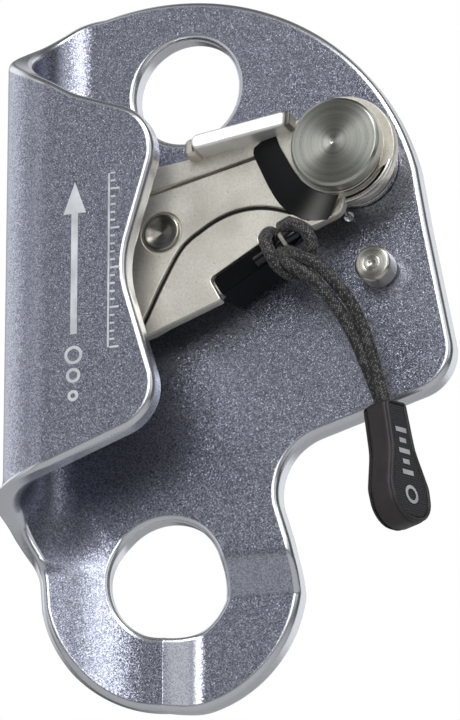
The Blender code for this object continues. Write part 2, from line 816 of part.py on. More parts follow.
def springs(look):
    """The cam's return spring, from the lever to its foot in the plate, and the catch's small one."""
    turns = coil(PIVOT, SPRING_COIL_R, *SPRING_COIL_Y, 90, SPRING_COIL_TURNS)
    foot_x, foot_z = SPRING_FOOT
    foot = [(foot_x - 0.3, -7.6, foot_z + 1.0), (foot_x, -6.2, foot_z), (foot_x, -2.6, foot_z)]
    arm = [(14.5, SPRING_COIL_Y[0], 26.6), (22.0, SPRING_COIL_Y[0], 28.6)]
    wire = tube(arm + turns + foot, SPRING_WIRE_R, 8)
    make_object("cam_spring", wire, look, (PIVOT[0], 0, PIVOT[1]))
    small = coil(CATCH_PIN, CATCH_SPRING_R, *CATCH_SPRING_Y, 200, CATCH_SPRING_TURNS)
    wire = tube(small, CATCH_SPRING_WIRE_R, 6)
    make_object("catch_spring", wire, look, (CATCH_PIN[0], 0, CATCH_PIN[1]))


# ---------------------------------------------------------------- catch


def nose_point(along, across=0.0):
    """Point in the XZ plane beyond the catch's end, along and across the axis of its nose."""
    return local(CATCH_PIN, CATCH_TILT, CATCH_LENGTH + along, across - NOSE_DROP)


def nose_tube(start, end, radius, inner=0.0, sides=16):
    """Round bar along the catch's nose, hollow if it has an inner radius."""
    a = Vector((nose_point(start)[0], NOSE_Y, nose_point(start)[1]))
    b = Vector((nose_point(end)[0], NOSE_Y, nose_point(end)[1]))
    axis = (b - a).normalized()
    side = Vector((0, 1, 0))
    up = axis.cross(side)
    bm = bmesh.new()
    profile = [(radius, a), (radius, b)]
    if inner:
        profile += [(inner, b), (inner, a)]
    rings = []
    for r, centre in profile:
        ring = []
        for k in range(sides):
            angle = 2 * math.pi * k / sides
            ring.append(bm.verts.new(centre + (side * math.cos(angle) + up * math.sin(angle)) * r))
        rings.append(ring)
    skin_rings(bm, rings, closed=bool(inner))
    return bm


def safety_catch(look, bright, steel):
    """Forked catch with its nose, the loose sleeve on the nose and the hinge pin."""
    left, right = -CATCH_HALF, CATCH_LENGTH
    outline = rounded([
        (*local(CATCH_PIN, CATCH_TILT, left, CATCH_HALF), 1.2),
        (*local(CATCH_PIN, CATCH_TILT, left, -CATCH_HALF), 1.2),
        (*local(CATCH_PIN, CATCH_TILT, right, -CATCH_HALF), 0.5),
        (*local(CATCH_PIN, CATCH_TILT, right, CATCH_HALF), 0.5),
    ])
    slot_start, slot_end = CATCH_SLOT_ALONG
    slot = prism(
        rounded([
            (*local(CATCH_PIN, CATCH_TILT, slot_start, CATCH_SLOT_HALF), 0.0),
            (*local(CATCH_PIN, CATCH_TILT, slot_start, -CATCH_SLOT_HALF), 0.0),
            (*local(CATCH_PIN, CATCH_TILT, slot_end, -CATCH_SLOT_HALF), 0.0),
            (*local(CATCH_PIN, CATCH_TILT, slot_end, CATCH_SLOT_HALF), 0.0),
        ]),
        *CATCH_SLOT_Y,
    )
    pin_hole = drill(CATCH_PIN_R + PIN_ROOM, CATCH_PIN, 12, PIN_HOLE_FRONT_Y)
    others = [
        ("UNION", nose_tube(NOSE_ROOT, NOSE_LENGTH, NOSE_R)),
        ("UNION", nose_tube(NOSE_LENGTH - NOSE_CAP_LENGTH, NOSE_LENGTH, NOSE_CAP_R)),
        ("DIFFERENCE", slot),
        ("DIFFERENCE", pin_hole),
    ]
    origin = (CATCH_PIN[0], 0, CATCH_PIN[1])
    combine("safety_catch", prism(outline, *CATCH_Y, CATCH_CHAMFER), others, look, origin)
    middle = sum(WRAPS_AT) / 2
    ends = (middle - NOSE_SLEEVE_HALF, middle + NOSE_SLEEVE_HALF)
    make_object("catch_sleeve", nose_tube(*ends, NOSE_SLEEVE_R, NOSE_R + RUNNING), bright, origin)
    front, rear = CATCH_PIN_Y
    pin = lathe([(0, front), (CATCH_PIN_R, front), (CATCH_PIN_R, rear), (0, rear)], CATCH_PIN, 12)
    make_object("catch_pin", pin, steel, origin)


# ---------------------------------------------------------------- cord and tab


def wrap(along):
    """One turn of the cord round the catch's nose."""
    cx, cz = nose_point(along)
    across = Vector((-math.sin(CATCH_TILT), 0, math.cos(CATCH_TILT)))
    points = []
    steps = 20
    for i in range(steps):
        a = 2 * math.pi * i / steps
        offset = across * math.cos(a) + Vector((0, -1, 0)) * math.sin(a)
        points.append(Vector((cx, NOSE_Y, cz)) + offset * WRAP_R)
    return tube(points, CORD_R, 8, closed=True)


def pull_cord(look):
    """Two turns round the nose, joined behind it, with two strands that run down to the tab."""
    knot = nose_point(sum(WRAPS_AT) / 2)
    front = NOSE_Y - WRAP_R
    behind = NOSE_Y + WRAP_R + BRIDGE_BEHIND
    ends = [nose_point(along) for along in WRAPS_AT]
    bridge = tube([(x, behind, z) for x, z in ends], BRIDGE_R, 8)
    others = [("UNION", wrap(WRAPS_AT[1])), ("UNION", bridge)]
    line = [
        (24.2, -12.9, 4.4),
        (28.2, -12.2, 0.0),
        (31.6, -11.2, -5.0),
        (34.2, -10.3, -11.0),
        CORD_END,
    ]
    for side, along in ((-1, WRAPS_AT[0]), (1, WRAPS_AT[1])):
        x, z = nose_point(along, -1.6)
        strand = [(x, front + 0.9, z)]
        strand += [(px + side * STRAND_APART, y, pz + side * STRAND_RISE) for px, y, pz in line]
        others.append(("UNION", tube(smooth_path(strand, 4), CORD_R, 8)))
    combine("pull_cord", wrap(WRAPS_AT[0]), others, look, (knot[0], NOSE_Y, knot[1]))


def tab_outline(inset=0.0):
    """Paddle outline of the tab: width across, height down from the top."""
    half = [(2.5, 0.0, 1.0), (2.9, -8.0, 8.0), (4.8, -14.0, 3.5), (4.4, -TAB_LENGTH, 4.2)]
    corners = half + [(-x, z, r) for x, z, r in reversed(half)]
    outline = rounded(corners, 18.0)
    return inset_outline(outline, inset) if inset else outline


def place_tab(bm):
    """Moves a piece drawn upright at the origin to the tab's place, turned and tilted."""
    turn = Matrix.Rotation(-TAB_TILT, 4, "Y") @ Matrix.Rotation(TAB_YAW, 4, "Z")
    top = Vector(CORD_END) - Vector((0, 0, TAB_DROP))
    bmesh.ops.transform(bm, matrix=Matrix.Translation(top) @ turn, verts=bm.verts)
    return bm


def pull_tab(look, weave, cord_look):
    """Paddle with a pocket and an insert on each face, and the cord's knot in its bore."""
    half = TAB_THICK / 2
    pocket = tab_outline(TAB_POCKET_INSET)
    others = [
        ("DIFFERENCE", place_tab(prism(pocket, -half - TAB_CUT, -half + TAB_RECESS))),
        ("DIFFERENCE", place_tab(prism(pocket, half - TAB_RECESS, half + TAB_CUT))),
    ]
    bore = tube([(0, 0, z) for z in TAB_BORE], TAB_BORE_R, 12)
    others.append(("DIFFERENCE", place_tab(bore)))
    paddle = place_tab(prism(tab_outline(), -half, half, TAB_CHAMFER))
    combine("tab_body", paddle, others, look, CORD_END)
    insert = tab_outline(TAB_INSERT_INSET)
    front_face = place_tab(prism(insert, -half, -half + TAB_INSERT))
    make_object("tab_face_front", front_face, weave, CORD_END)
    back_face = place_tab(prism(insert, half - TAB_INSERT, half))
    make_object("tab_face_back", back_face, weave, CORD_END)
    knot = tube([(0, 0, z) for z in KNOT_HEIGHTS], KNOT_R, 10)
    make_object("cord_knot", place_tab(knot), cord_look, CORD_END)


# ---------------------------------------------------------------- build


def build():
    """Clears the scene and makes every piece."""
    for old in list(bpy.data.objects):
        bpy.data.objects.remove(old)
    aluminium = material("blasted_aluminium", (0.45, 0.47, 0.52), 0.38, 1.0)
    turned = material("turned_steel", (0.42, 0.42, 0.38), 0.25, 1.0)
    bright = material("bright_steel", (0.66, 0.64, 0.58), 0.22, 1.0)
    cast = material("cast_steel", (0.56, 0.54, 0.48), 0.42, 1.0)
    bronze = material("bearing_bronze", (0.45, 0.32, 0.16), 0.35, 1.0)
    black = material("black_catch", (0.012, 0.012, 0.014), 0.45, 0.0)
    braid = material("black_braid", (0.02, 0.02, 0.022), 0.8, 0.0)
    rubber = material("tab_rubber", (0.03, 0.027, 0.026), 0.6, 0.0)
    webbing = material("tab_webbing", (0.012, 0.012, 0.013), 0.85, 0.0)
    frame_shell(aluminium)
    axle_stack(turned, bright, bronze)
    stop_peg(bright)
    cam_body(cast)
    cam_rivet(cast)
    thumb_lever(cast)
    springs(bright)
    safety_catch(black, bright, bright)
    pull_cord(braid)
    pull_tab(rubber, webbing, braid)


build()
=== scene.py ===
"""Looks of the camming rope clamp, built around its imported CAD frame.

Lengths are in millimetres until new_piece() scales a finished mesh to metres.
X points right, Z up, -Y to the front, as in the CAD.
"""

import math

import bmesh
import bpy
import numpy as np
from mathutils import Matrix, Vector


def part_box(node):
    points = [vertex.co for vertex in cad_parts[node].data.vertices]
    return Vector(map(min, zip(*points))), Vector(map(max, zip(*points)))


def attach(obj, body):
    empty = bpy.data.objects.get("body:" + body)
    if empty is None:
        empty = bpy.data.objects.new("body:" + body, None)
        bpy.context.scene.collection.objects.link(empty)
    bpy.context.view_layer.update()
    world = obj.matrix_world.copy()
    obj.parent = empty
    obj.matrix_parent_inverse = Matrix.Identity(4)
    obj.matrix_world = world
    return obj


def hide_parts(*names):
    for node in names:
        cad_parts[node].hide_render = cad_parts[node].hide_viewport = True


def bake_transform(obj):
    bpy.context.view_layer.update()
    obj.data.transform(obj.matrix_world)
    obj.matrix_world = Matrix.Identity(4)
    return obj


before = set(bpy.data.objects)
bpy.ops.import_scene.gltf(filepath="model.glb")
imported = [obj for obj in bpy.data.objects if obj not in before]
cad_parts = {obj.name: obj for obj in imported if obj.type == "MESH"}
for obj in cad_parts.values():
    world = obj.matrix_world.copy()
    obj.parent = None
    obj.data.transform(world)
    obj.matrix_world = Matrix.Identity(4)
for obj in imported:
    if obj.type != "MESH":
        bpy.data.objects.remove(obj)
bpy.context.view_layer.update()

MM = 0.001
SHARP = True  # marks a corner of a turned profile that isn't rounded
TURNED_SHARP = 38  # degrees between faces that stay sharp on turned pieces
FILM_GAP = 0.03  # height of a print above its face


def centre_of(node):
    """Middle of a CAD node's box, in millimetres."""
    low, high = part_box(node)
    return (low + high) / 2 / MM


def span_y(node):
    """Front and rear Y of a CAD node, in millimetres."""
    low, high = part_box(node)
    return low.y / MM, high.y / MM


def radius_of(node):
    """Radius of a round CAD node, in millimetres."""
    low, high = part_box(node)
    return (high.x - low.x) / 2 / MM


# Frame plate, bent round the rope channel
PLATE = 4.0
EDGE_ROUND = 1.05
CHANNEL_NEUTRAL = 9.0
CHANNEL_X = -14.7
FLANGE_START = CHANNEL_X - math.pi * CHANNEL_NEUTRAL
FLANGE_FRONT_Y = -2 * CHANNEL_NEUTRAL - PLATE
UPPER_EYE = (1.2, 40.6)
UPPER_EYE_R = 8.75
LOWER_EYE = (-2.2, -39.9)
LOWER_EYE_R = 9.3
LOBE_CENTRE = (-1.2, -40.6)
LOBE_R = 20.3
LOBE_FULLER = 1.1
TOP_CENTRE = (-3.0, 12.0)
TOP_R = 44.2
LOBE_CURL_X = -5.4
LOBE_CURL_R = 24.0
LOBE_CURL_ANGLE = 0.49
CURL_FROM_Z = -25.0
CURL_TO_Z = -39.0
SETBACK = 3.4
SETBACK_X = (-2.5, 3.5)
SETBACK_X_SOFT = (0.02, 0.46)
SETBACK_Z = (-36.3, -43.5)
SETBACK_Z_SOFT = (0.35, 0.08)
SLOPE_FADE = 1.4
# Shares of the edges' light colour painted on the setback slopes as sheen
SLOPE_SHINE_UPRIGHT = 0.36
SLOPE_SHINE_LEVEL = 0.1
FACET_TILT = 0.21

# Mechanism, placed by the CAD
AXLE = centre_of("main_axle")
PIVOT = (AXLE.x, AXLE.z)
HEAD_Y = span_y("main_axle")[0]
HEAD_R = radius_of("main_axle")
HEAD_SINK = 1.2
HEAD_ASIDE = 0.4
HEAD_MIDDLE = (PIVOT[0] + HEAD_ASIDE, PIVOT[1])
SPRING_FOOT = (28.6, 15.9)
PEG_AT = centre_of("stop_peg")
PEG = (PEG_AT.x, PEG_AT.z)
PEG_R = radius_of("stop_peg")
PEG_TOP_Y = span_y("stop_peg")[0]
PIN_AT = centre_of("catch_pin")
CATCH_PIN = (PIN_AT.x, PIN_AT.z)
RIVET_AT = centre_of("cam_rivet")
CAM_RIVET = (RIVET_AT.x, RIVET_AT.z)
CATCH_TILT = math.radians(29.9)
CATCH_LENGTH = 7.4
BLOCK_ALONG = (-1.35, 8.0)
BLOCK_ACROSS = (-1.15, 2.2)
BLOCK_Y = (-12.6, -5.0)
NOSE_Y = -13.2
NOSE_DROP = 0.2
CHEEK_Y = (-12.5, -10.3)
AXLE_HOLE_R = 5.2
SPIRAL_R = 45.0
SPIRAL_RATE = 0.24
SPIRAL_FROM = math.radians(8.0)
SPIRAL_TO = math.radians(35.5)
CORD_END = Vector((36.0, -9.7, -17.0))
TAB_TILT = math.radians(9.0)
TAB_YAW = math.radians(70.0)
TAB_THICK = 5.0


# Outlines


def arc(centre, radius, start, end, steps):
    cx, cz = centre
    angles = np.radians(np.linspace(start, end, steps + 1))
    return [(cx + radius * math.cos(a), cz + radius * math.sin(a)) for a in angles]


def circle(centre, radius, steps):
    return arc(centre, radius, 0, 360, steps)[:-1]


def sharp(points):
    """Points (x, z) as corners without a radius."""
    return [(x, z, 0.0) for x, z in points]


def rounded(corners, step=4.0):
    """Closed polygon whose corners (x, z, radius) become arcs, with a point every step degrees."""
    points = []
    count = len(corners)
    for i, (x, z, radius) in enumerate(corners):
        here = Vector((x, z))
        if radius <= 0:
            points.append((x, z))
            continue
        before = (Vector(corners[i - 1][:2]) - here).normalized()
        after = (Vector(corners[(i + 1) % count][:2]) - here).normalized()
        half = before.angle(after) / 2
        centre = here + (before + after).normalized() * radius / math.sin(half)
        first = here + before * radius / math.tan(half) - centre
        turn = math.pi - 2 * half
        side = 1 if before.x * after.y - before.y * after.x < 0 else -1
        steps = max(2, round(math.degrees(turn) / step))
        for k in range(steps + 1):
            points.append(tuple(centre + Matrix.Rotation(side * turn * k / steps, 2) @ first))
    return points


def local(origin, tilt, along, across):
    """Point given along and across an axis that starts at origin and is tilted."""
    x = origin[0] + along * math.cos(tilt) - across * math.sin(tilt)
    z = origin[1] + along * math.sin(tilt) + across * math.cos(tilt)
    return x, z


def catch_point(along, across):
    return local(CATCH_PIN, CATCH_TILT, along, across)


def nose_point(along, across=0.0):
    return catch_point(CATCH_LENGTH + along, across - NOSE_DROP)


def spiral(angle, inset=0.0):
    radius = SPIRAL_R * math.exp(SPIRAL_RATE * angle) - inset
    return PIVOT[0] - radius * math.cos(angle), PIVOT[1] - radius * math.sin(angle)


def outline_normals(outline):
    """Outward unit normal at each point of a closed outline."""
    p = np.array(outline)
    nxt = np.roll(p, -1, 0)
    area = np.sum(p[:, 0] * nxt[:, 1] - nxt[:, 0] * p[:, 1])
    edge = nxt - p
    n = np.stack([edge[:, 1], -edge[:, 0]], 1)
    n /= np.linalg.norm(n, axis=1)[:, None] + 1e-12
    if area < 0:
        n = -n
    both = n + np.roll(n, 1, 0)
    both /= np.linalg.norm(both, axis=1)[:, None] + 1e-12
    stretch = np.maximum(0.5, np.sum(both * n, 1))
    return both, stretch


def smooth_path(anchors, steps):
    """Catmull-Rom curve through anchor points."""
    points = [Vector(a) for a in anchors]
    ends = [points[0] * 2 - points[1]] + points + [points[-1] * 2 - points[-2]]
    curve = []
    for a, b, c, d in zip(ends, ends[1:], ends[2:], ends[3:]):
        for k in range(steps):
            t = k / steps
            pull = (c - a) * t + (a * 2 - b * 5 + c * 4 - d) * t * t
            curve.append(b + (pull + (b * 3 - a - c * 3 + d) * t * t * t) / 2)
    curve.append(points[-1])
    return curve


def even_path(points, spacing):
    """The same path with its points evenly spaced."""
    p = np.array([tuple(q) for q in points])
    run = np.concatenate([[0], np.cumsum(np.linalg.norm(np.diff(p, axis=0), axis=1))])
    count = max(2, round(run[-1] / spacing))
    at = np.linspace(0, run[-1], count + 1)
    return np.stack([np.interp(at, run, p[:, k]) for k in range(3)], 1)


# Pieces


def new_piece(name, body, look, verts, faces, replaces=(), slot=None, crease=None):
    """Piece from vertices in millimetres, riding on a CAD body if one is given."""
    mesh = bpy.data.meshes.new(name)
    mesh.from_pydata([tuple(v) for v in np.asarray(verts) * MM], [], [tuple(f) for f in faces])
    mesh.update()
    mesh.materials.append(look)
    mesh.shade_smooth()
    if crease is not None:
        mesh.set_sharp_from_angle(angle=math.radians(crease))
    piece = bpy.data.objects.new(name, mesh)
    bpy.context.scene.collection.objects.link(piece)
    if body:
        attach(piece, body)
    if replaces:
        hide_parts(*replaces)
    return piece


def give_attribute(piece, name, values):
    attribute = piece.data.attributes.new(name, "FLOAT", "POINT")
    attribute.data.foreach_set("value", np.asarray(values, np.float32))


def give_normals(piece, normals):
    """Smooth normals for each vertex, except where a face turns away from them at a sharp edge."""
    mesh = piece.data
    index = np.zeros(len(mesh.loops), np.int32)
    mesh.loops.foreach_get("vertex_index", index)
    face = np.zeros(len(mesh.polygons) * 3, np.float32)
    mesh.polygons.foreach_get("normal", face)
    face = face.reshape(-1, 3)
    total = np.zeros(len(mesh.polygons), np.int32)
    mesh.polygons.foreach_get("loop_total", total)
    per_loop = np.repeat(face, total, 0)
    wanted = normals[index]
    away = np.sum(per_loop * wanted, 1) < 0.55
    wanted[away] = per_loop[away]
    mesh.normals_split_custom_set(wanted.tolist())


def edge_rings(y_front, y_rear, radius, segments):
    """(y, inset, in-plane share, Y share of the normal, edge mark) of each ring, rear to front."""
    rings = []
    for k in range(segments + 1):
        a = math.pi / 2 * k / segments
        y = y_rear - radius * (1 - math.cos(a))
        rings.append((y, radius * (1 - math.sin(a)), math.sin(a), math.cos(a), float(k > 0)))
    for k in range(segments + 1):
        a = math.pi / 2 * (1 - k / segments)
        y = y_front + radius * (1 - math.cos(a))
        mark = float(k < segments)
        rings.append((y, radius * (1 - math.sin(a)), math.sin(a), -math.cos(a), mark))
    return rings


def plate(outline, y_front, y_rear, radius, holes=(), columns=(), rows=(), warp=None, segments=5):
    """Plate with rounded edges. Returns vertices, faces, normals and edge marks.

    holes are (centre, radius, sides, rings or None); warp moves an (n, 3) array of points.
    """
    bm = bmesh.new()
    normal_layer = bm.verts.layers.float_vector.new("flat_normal")
    mark_layer = bm.verts.layers.float.new("edge_mark")
    rims = {"rear": [], "front": []}

    def add_wall(shape, normals, stretch, levels):
        rings = []
        for y, inset, plane, depth, mark in levels:
            ring = []
            for (x, z), (nx, nz), s in zip(shape, normals, stretch):
                move = inset / s
                vert = bm.verts.new((x - nx * move, y, z - nz * move))
                vert[normal_layer] = (nx * plane, depth, nz * plane)
                vert[mark_layer] = mark
                ring.append(vert)
            rings.append(ring)
        for low, high in zip(rings, rings[1:]):
            for i in range(len(low)):
                j = (i + 1) % len(low)
                bm.faces.new((low[i], low[j], high[j], high[i]))
        for side, ring in (("rear", rings[0]), ("front", rings[-1])):
            rims[side] += [bm.edges.get((ring[i - 1], ring[i])) for i in range(len(ring))]

    normals, stretch = outline_normals(outline)
    add_wall(outline, normals, stretch, edge_rings(y_front, y_rear, radius, segments))
    for centre, hole_r, sides, levels in holes:
        shape = circle(centre, hole_r, sides)
        normals, stretch = outline_normals(shape)
        hole_levels = levels or edge_rings(y_front, y_rear, radius, segments)
        add_wall(shape, -normals, stretch, hole_levels)
    for edges in rims.values():
        bmesh.ops.triangle_fill(bm, use_beauty=True, use_dissolve=False, edges=edges)
    cuts = [((x, 0, 0), (1, 0, 0)) for x in columns] + [((0, 0, z), (0, 0, 1)) for z in rows]
    for point, direction in cuts:
        geometry = list(bm.verts) + list(bm.edges) + list(bm.faces)
        bmesh.ops.bisect_plane(bm, geom=geometry, dist=0.01, plane_co=point, plane_no=direction)
    bmesh.ops.recalc_face_normals(bm, faces=bm.faces)
    bm.verts.index_update()
    verts = np.array([tuple(v.co) for v in bm.verts])
    flat = np.array([tuple(v[normal_layer]) for v in bm.verts])
    marks = np.array([v[mark_layer] for v in bm.verts])
    faces = [[v.index for v in f.verts] for f in bm.faces]
    bm.free()
    flat /= np.linalg.norm(flat, axis=1)[:, None] + 1e-12
    if warp is not None:
        step = 0.01
        sides = []
        for axis in range(3):
            shift = np.zeros(3)
            shift[axis] = step
            sides.append((warp(verts + shift) - warp(verts - shift)) / (2 * step))
        a, b, c = sides
        turned = (
            flat[:, :1] * np.cross(b, c)
            + flat[:, 1:2] * np.cross(c, a)
            + flat[:, 2:] * np.cross(a, b)
        )
        flat = turned / (np.linalg.norm(turned, axis=1)[:, None] + 1e-12)
        verts = warp(verts)
    return verts, faces, flat, marks


def plate_piece(name, body, look, made, replaces=(), slot=None):
    verts, faces, normals, marks = made
    piece = new_piece(name, body, look, verts, faces, replaces, slot)
    give_normals(piece, normals)
    give_attribute(piece, "edge_mark", marks)
    return piece


def joined(parts):
    """Several (verts, faces, normals, marks) meshes as one."""
    verts, faces, normals, marks = [], [], [], []
    start = 0
    for v, f, n, m in parts:
        verts.append(v)
        normals.append(n)
        marks.append(m)
        faces += [[i + start for i in face] for face in f]
        start += len(v)
    return np.concatenate(verts), faces, np.concatenate(normals), np.concatenate(marks)


def grid_faces(rows, columns, rows_closed=False, columns_closed=False):
    """Quads between the neighbours of a grid of points that is stored row by row."""
    faces = []
    for i in range(rows if rows_closed else rows - 1):
        a, b = i * columns, (i + 1) % rows * columns
        for k in range(columns if columns_closed else columns - 1):
            m = (k + 1) % columns
            faces.append((a + k, a + m, b + m, b + k))
    return faces


def lathe(profile, centre, steps=96):
    """Vertices and faces of a body turned about a Y axis, from a profile of (radius, y) points."""
    cx, cz = centre
    verts = []
    for i in range(steps):
        a = 2 * math.pi * i / steps
        verts += [(cx + r * math.cos(a), y, cz + r * math.sin(a)) for r, y in profile]
    hollow = min(r for r, y in profile) > 0
    return merge_points(verts, grid_faces(steps, len(profile), True, hollow))


def partial_lathe(profile, centre, start, end, steps):
    """Like lathe, between two angles in degrees."""
    verts = []
    for i in range(steps + 1):
        a = math.radians(start + (end - start) * i / steps)
        verts += [(centre[0] + r * math.cos(a), y, centre[1] + r * math.sin(a)) for r, y in profile]
    quads = grid_faces(steps + 1, len(profile))
    return verts, [(a, d, c, b) for a, b, c, d in quads]


def merge_points(verts, faces):
    bm = bmesh.new()
    made = [bm.verts.new(v) for v in verts]
    for face in faces:
        bm.faces.new([made[i] for i in face])
    bmesh.ops.remove_doubles(bm, verts=bm.verts, dist=1e-4)
    bmesh.ops.dissolve_degenerate(bm, edges=bm.edges, dist=1e-4)
    bmesh.ops.recalc_face_normals(bm, faces=bm.faces)
    bm.verts.index_update()
    verts = np.array([tuple(v.co) for v in bm.verts])
    faces = [[v.index for v in f.verts] for f in bm.faces]
    bm.free()
    return verts, faces


def round_profile(points, radius, steps=4):
    """Profile (r, y) with rounded corners, except at its ends and at points marked SHARP."""
    done = []
    for i, (r, y, *mark) in enumerate(points):
        if mark or i in (0, len(points) - 1):
            done.append((r, y))
            continue
        here = Vector((r, y))
        before = Vector(points[i - 1][:2]) - here
        after = Vector(points[i + 1][:2]) - here
        reach = min(radius, before.length / 2, after.length / 2)
        a = here + before.normalized() * reach
        b = here + after.normalized() * reach
        for k in range(steps + 1):
            t = k / steps
            done.append(tuple(a * (1 - t) ** 2 + here * 2 * t * (1 - t) + b * t * t))
    return done


def sweep(path, radii, sides):
    """Round bar along a path, with end caps; radii is one number or an array (rings, sides)."""
    p = np.array([tuple(q) for q in path])
    count = len(p)
    ahead = np.vstack([p[1:], p[-1:]])
    behind = np.vstack([p[:1], p[:-1]])
    tangent = ahead - behind
    tangent /= np.linalg.norm(tangent, axis=1)[:, None] + 1e-12
    normal = np.array(Vector(tangent[0]).orthogonal().normalized())
    verts = []
    radii = np.broadcast_to(np.asarray(radii, float), (count, sides))
    angles = 2 * np.pi * np.arange(sides) / sides
    for i in range(count):
        normal = normal - tangent[i] * np.dot(normal, tangent[i])
        normal /= np.linalg.norm(normal)
        other = np.cross(tangent[i], normal)
        ring = p[i] + (
            np.cos(angles)[:, None] * normal + np.sin(angles)[:, None] * other
        ) * radii[i][:, None]
        verts.append(ring)
    verts = np.concatenate(verts)
    faces = grid_faces(count, sides, columns_closed=True)
    faces.append(tuple(range(sides))[::-1])
    faces.append(tuple((count - 1) * sides + k for k in range(sides)))
    return verts, faces


class Film:
    """Flat printed shapes that lie in one plane of constant Y."""

    def __init__(self, y):
        self.y, self.verts, self.faces = y, [], []

    def add(self, points):
        start = len(self.verts)
        self.verts.extend((x, self.y, z) for x, z in points)
        self.faces.append(list(range(start, start + len(points))))

    def bar(self, x0, z0, x1, z1, half):
        a, b = Vector((x0, z0)), Vector((x1, z1))
        along = (b - a).normalized() * half
        side = Vector((-along.y, along.x))
        self.add([a + side, b + side, b - side, a - side])

    def ring(self, middle, outer, inner, steps):
        outer, inner = circle(middle, outer, steps), circle(middle, inner, steps)
        for k in range(steps):
            m = (k + 1) % steps
            self.add([outer[k], outer[m], inner[m], inner[k]])


# Materials


class Graph:
    """Short way to build a node tree."""

    def __init__(self, tree):
        self.tree = tree

    def add(self, kind, inputs=None, **settings):
        node = self.tree.nodes.new("ShaderNode" + kind)
        for key, value in settings.items():
            setattr(node, key, value)
        for key, value in (inputs or {}).items():
            self.put(node.inputs[key], value)
        return node

    def put(self, socket, value):
        if isinstance(value, bpy.types.NodeSocket):
            self.tree.links.new(value, socket)
        else:
            socket.default_value = value

    def math(self, operation, a, b=0.0):
        return self.add("Math", {0: a, 1: b}, operation=operation).outputs[0]

    def spread(self, value, low, high, to_low=0.0, to_high=1.0, **settings):
        inputs = {"Value": value, "From Min": low, "From Max": high}
        inputs.update({"To Min": to_low, "To Max": to_high})
        return self.add("MapRange", inputs, **settings).outputs[0]


class Nodes(Graph):
    """The nodes of a new material."""

    def __init__(self, name):
        self.material = bpy.data.materials.new(name)
        self.material.use_nodes = True
        super().__init__(self.material.node_tree)

    def out(self, **values):
        surface = self.tree.nodes["Principled BSDF"]
        for key, value in values.items():
            self.put(surface.inputs[key.replace("_", " ")], value)

    def coords(self):
        return self.add("TexCoord").outputs["Object"]

    def noise(self, vector, scale, detail=2.0, rough=0.5):
        inputs = {"Vector": vector, "Scale": scale, "Detail": detail, "Roughness": rough}
        return self.add("TexNoise", inputs).outputs["Fac"]

    def mix(self, factor, a, b):
        """Colour between a and b; a colour is a socket or (red, green, blue)."""
        node = self.add("Mix", {0: factor}, data_type="RGBA")
        for key, value in ((6, a), (7, b)):
            self.put(node.inputs[key], (*value, 1.0) if isinstance(value, tuple) else value)
        return node.outputs[2]

    def blend(self, factor, a, b):
        """Number between a and b."""
        return self.add("Mix", {0: factor, 2: a, 3: b}, data_type="FLOAT").outputs[0]

    def vector(self, operation, *values):
        inputs = dict(enumerate(values))
        return self.add("VectorMath", inputs, operation=operation).outputs[0]

    def attribute(self, name):
        return self.add("Attribute", attribute_name=name).outputs["Fac"]

    def bump(self, height, strength, distance, **under):
        inputs = {"Height": height, "Strength": strength, "Distance": distance, **under}
        return self.add("Bump", inputs).outputs[0]


def scaled(colour, share):
    return tuple(share * c for c in colour)


def blasted_aluminium():
    """Bead-blasted anodised plate: tiny facets on the faces, edges with a polish. Their light
    colour, masked onto the frame's setback slopes, is painted sheen there.
    """
    n = Nodes("blasted_aluminium")
    where = n.coords()
    cells = n.add("TexVoronoi", {"Vector": where, "Scale": 6500.0}).outputs["Color"]
    grain = n.noise(where, 4600.0, 2.0, 0.6)
    cloud = n.noise(where, 45.0, 2.0)
    face = n.spread(n.attribute("edge_mark"), 0.0, 0.7, 1.0, 0.0)
    shade = n.add("SeparateXYZ", {0: cells}).outputs[1]
    spotted = n.mix(shade, (0.12, 0.13, 0.18), (0.57, 0.58, 0.68))
    toned = n.mix(n.spread(cloud, 0.3, 0.7, 0.0, 0.25), spotted, (0.42, 0.44, 0.5))
    polish_and_sheen = n.mix(n.spread(grain, 0.2, 0.8), (0.66, 0.67, 0.71), (0.74, 0.75, 0.78))
    facing = n.add("NewGeometry").outputs["Normal"]
    tilt = n.vector("SUBTRACT", cells, (0.5, 0.5, 0.5))
    reach = n.blend(face, 0.02, FACET_TILT)
    tilt = n.add("VectorMath", {0: tilt, "Scale": reach}, operation="SCALE").outputs[0]
    facet = n.vector("NORMALIZE", n.vector("ADD", facing, tilt))
    n.out(
        Base_Color=n.mix(face, polish_and_sheen, toned),
        Roughness=n.blend(face, 0.24, 0.27),
        Metallic=0.9,
        Normal=n.bump(grain, n.blend(face, 0.02, 0.2), 0.0001, Normal=facet),
    )
    return n.material


def cast_steel():
    """Cast and tumbled steel: warm beige grey with fine pits."""
    n = Nodes("cast_steel")
    where = n.coords()
    grain = n.noise(where, 2600.0, 2.0, 0.6)
    pits = n.add("TexVoronoi", {"Vector": where, "Scale": 620.0}).outputs["Distance"]
    pit = n.spread(pits, 0.05, 0.16, 1.0, 0.0)
    cloud = n.noise(where, 110.0, 4.0)
    base = n.mix(n.spread(cloud, 0.36, 0.62), (0.66, 0.63, 0.55), (0.92, 0.88, 0.79))
    speck = n.mix(n.spread(grain, 0.35, 0.75, 0.0, 0.5), base, (0.5, 0.47, 0.41))
    height = n.math("SUBTRACT", n.math("MULTIPLY", grain, 0.6), n.math("MULTIPLY", pit, 0.5))
    n.out(
        Base_Color=n.mix(n.math("MULTIPLY", pit, 0.35), speck, (0.3, 0.28, 0.24)),
        Roughness=n.spread(grain, 0.3, 0.7, 0.38, 0.52),
        Metallic=0.8,
        Normal=n.bump(height, 0.3, 0.00012),
    )
    return n.material


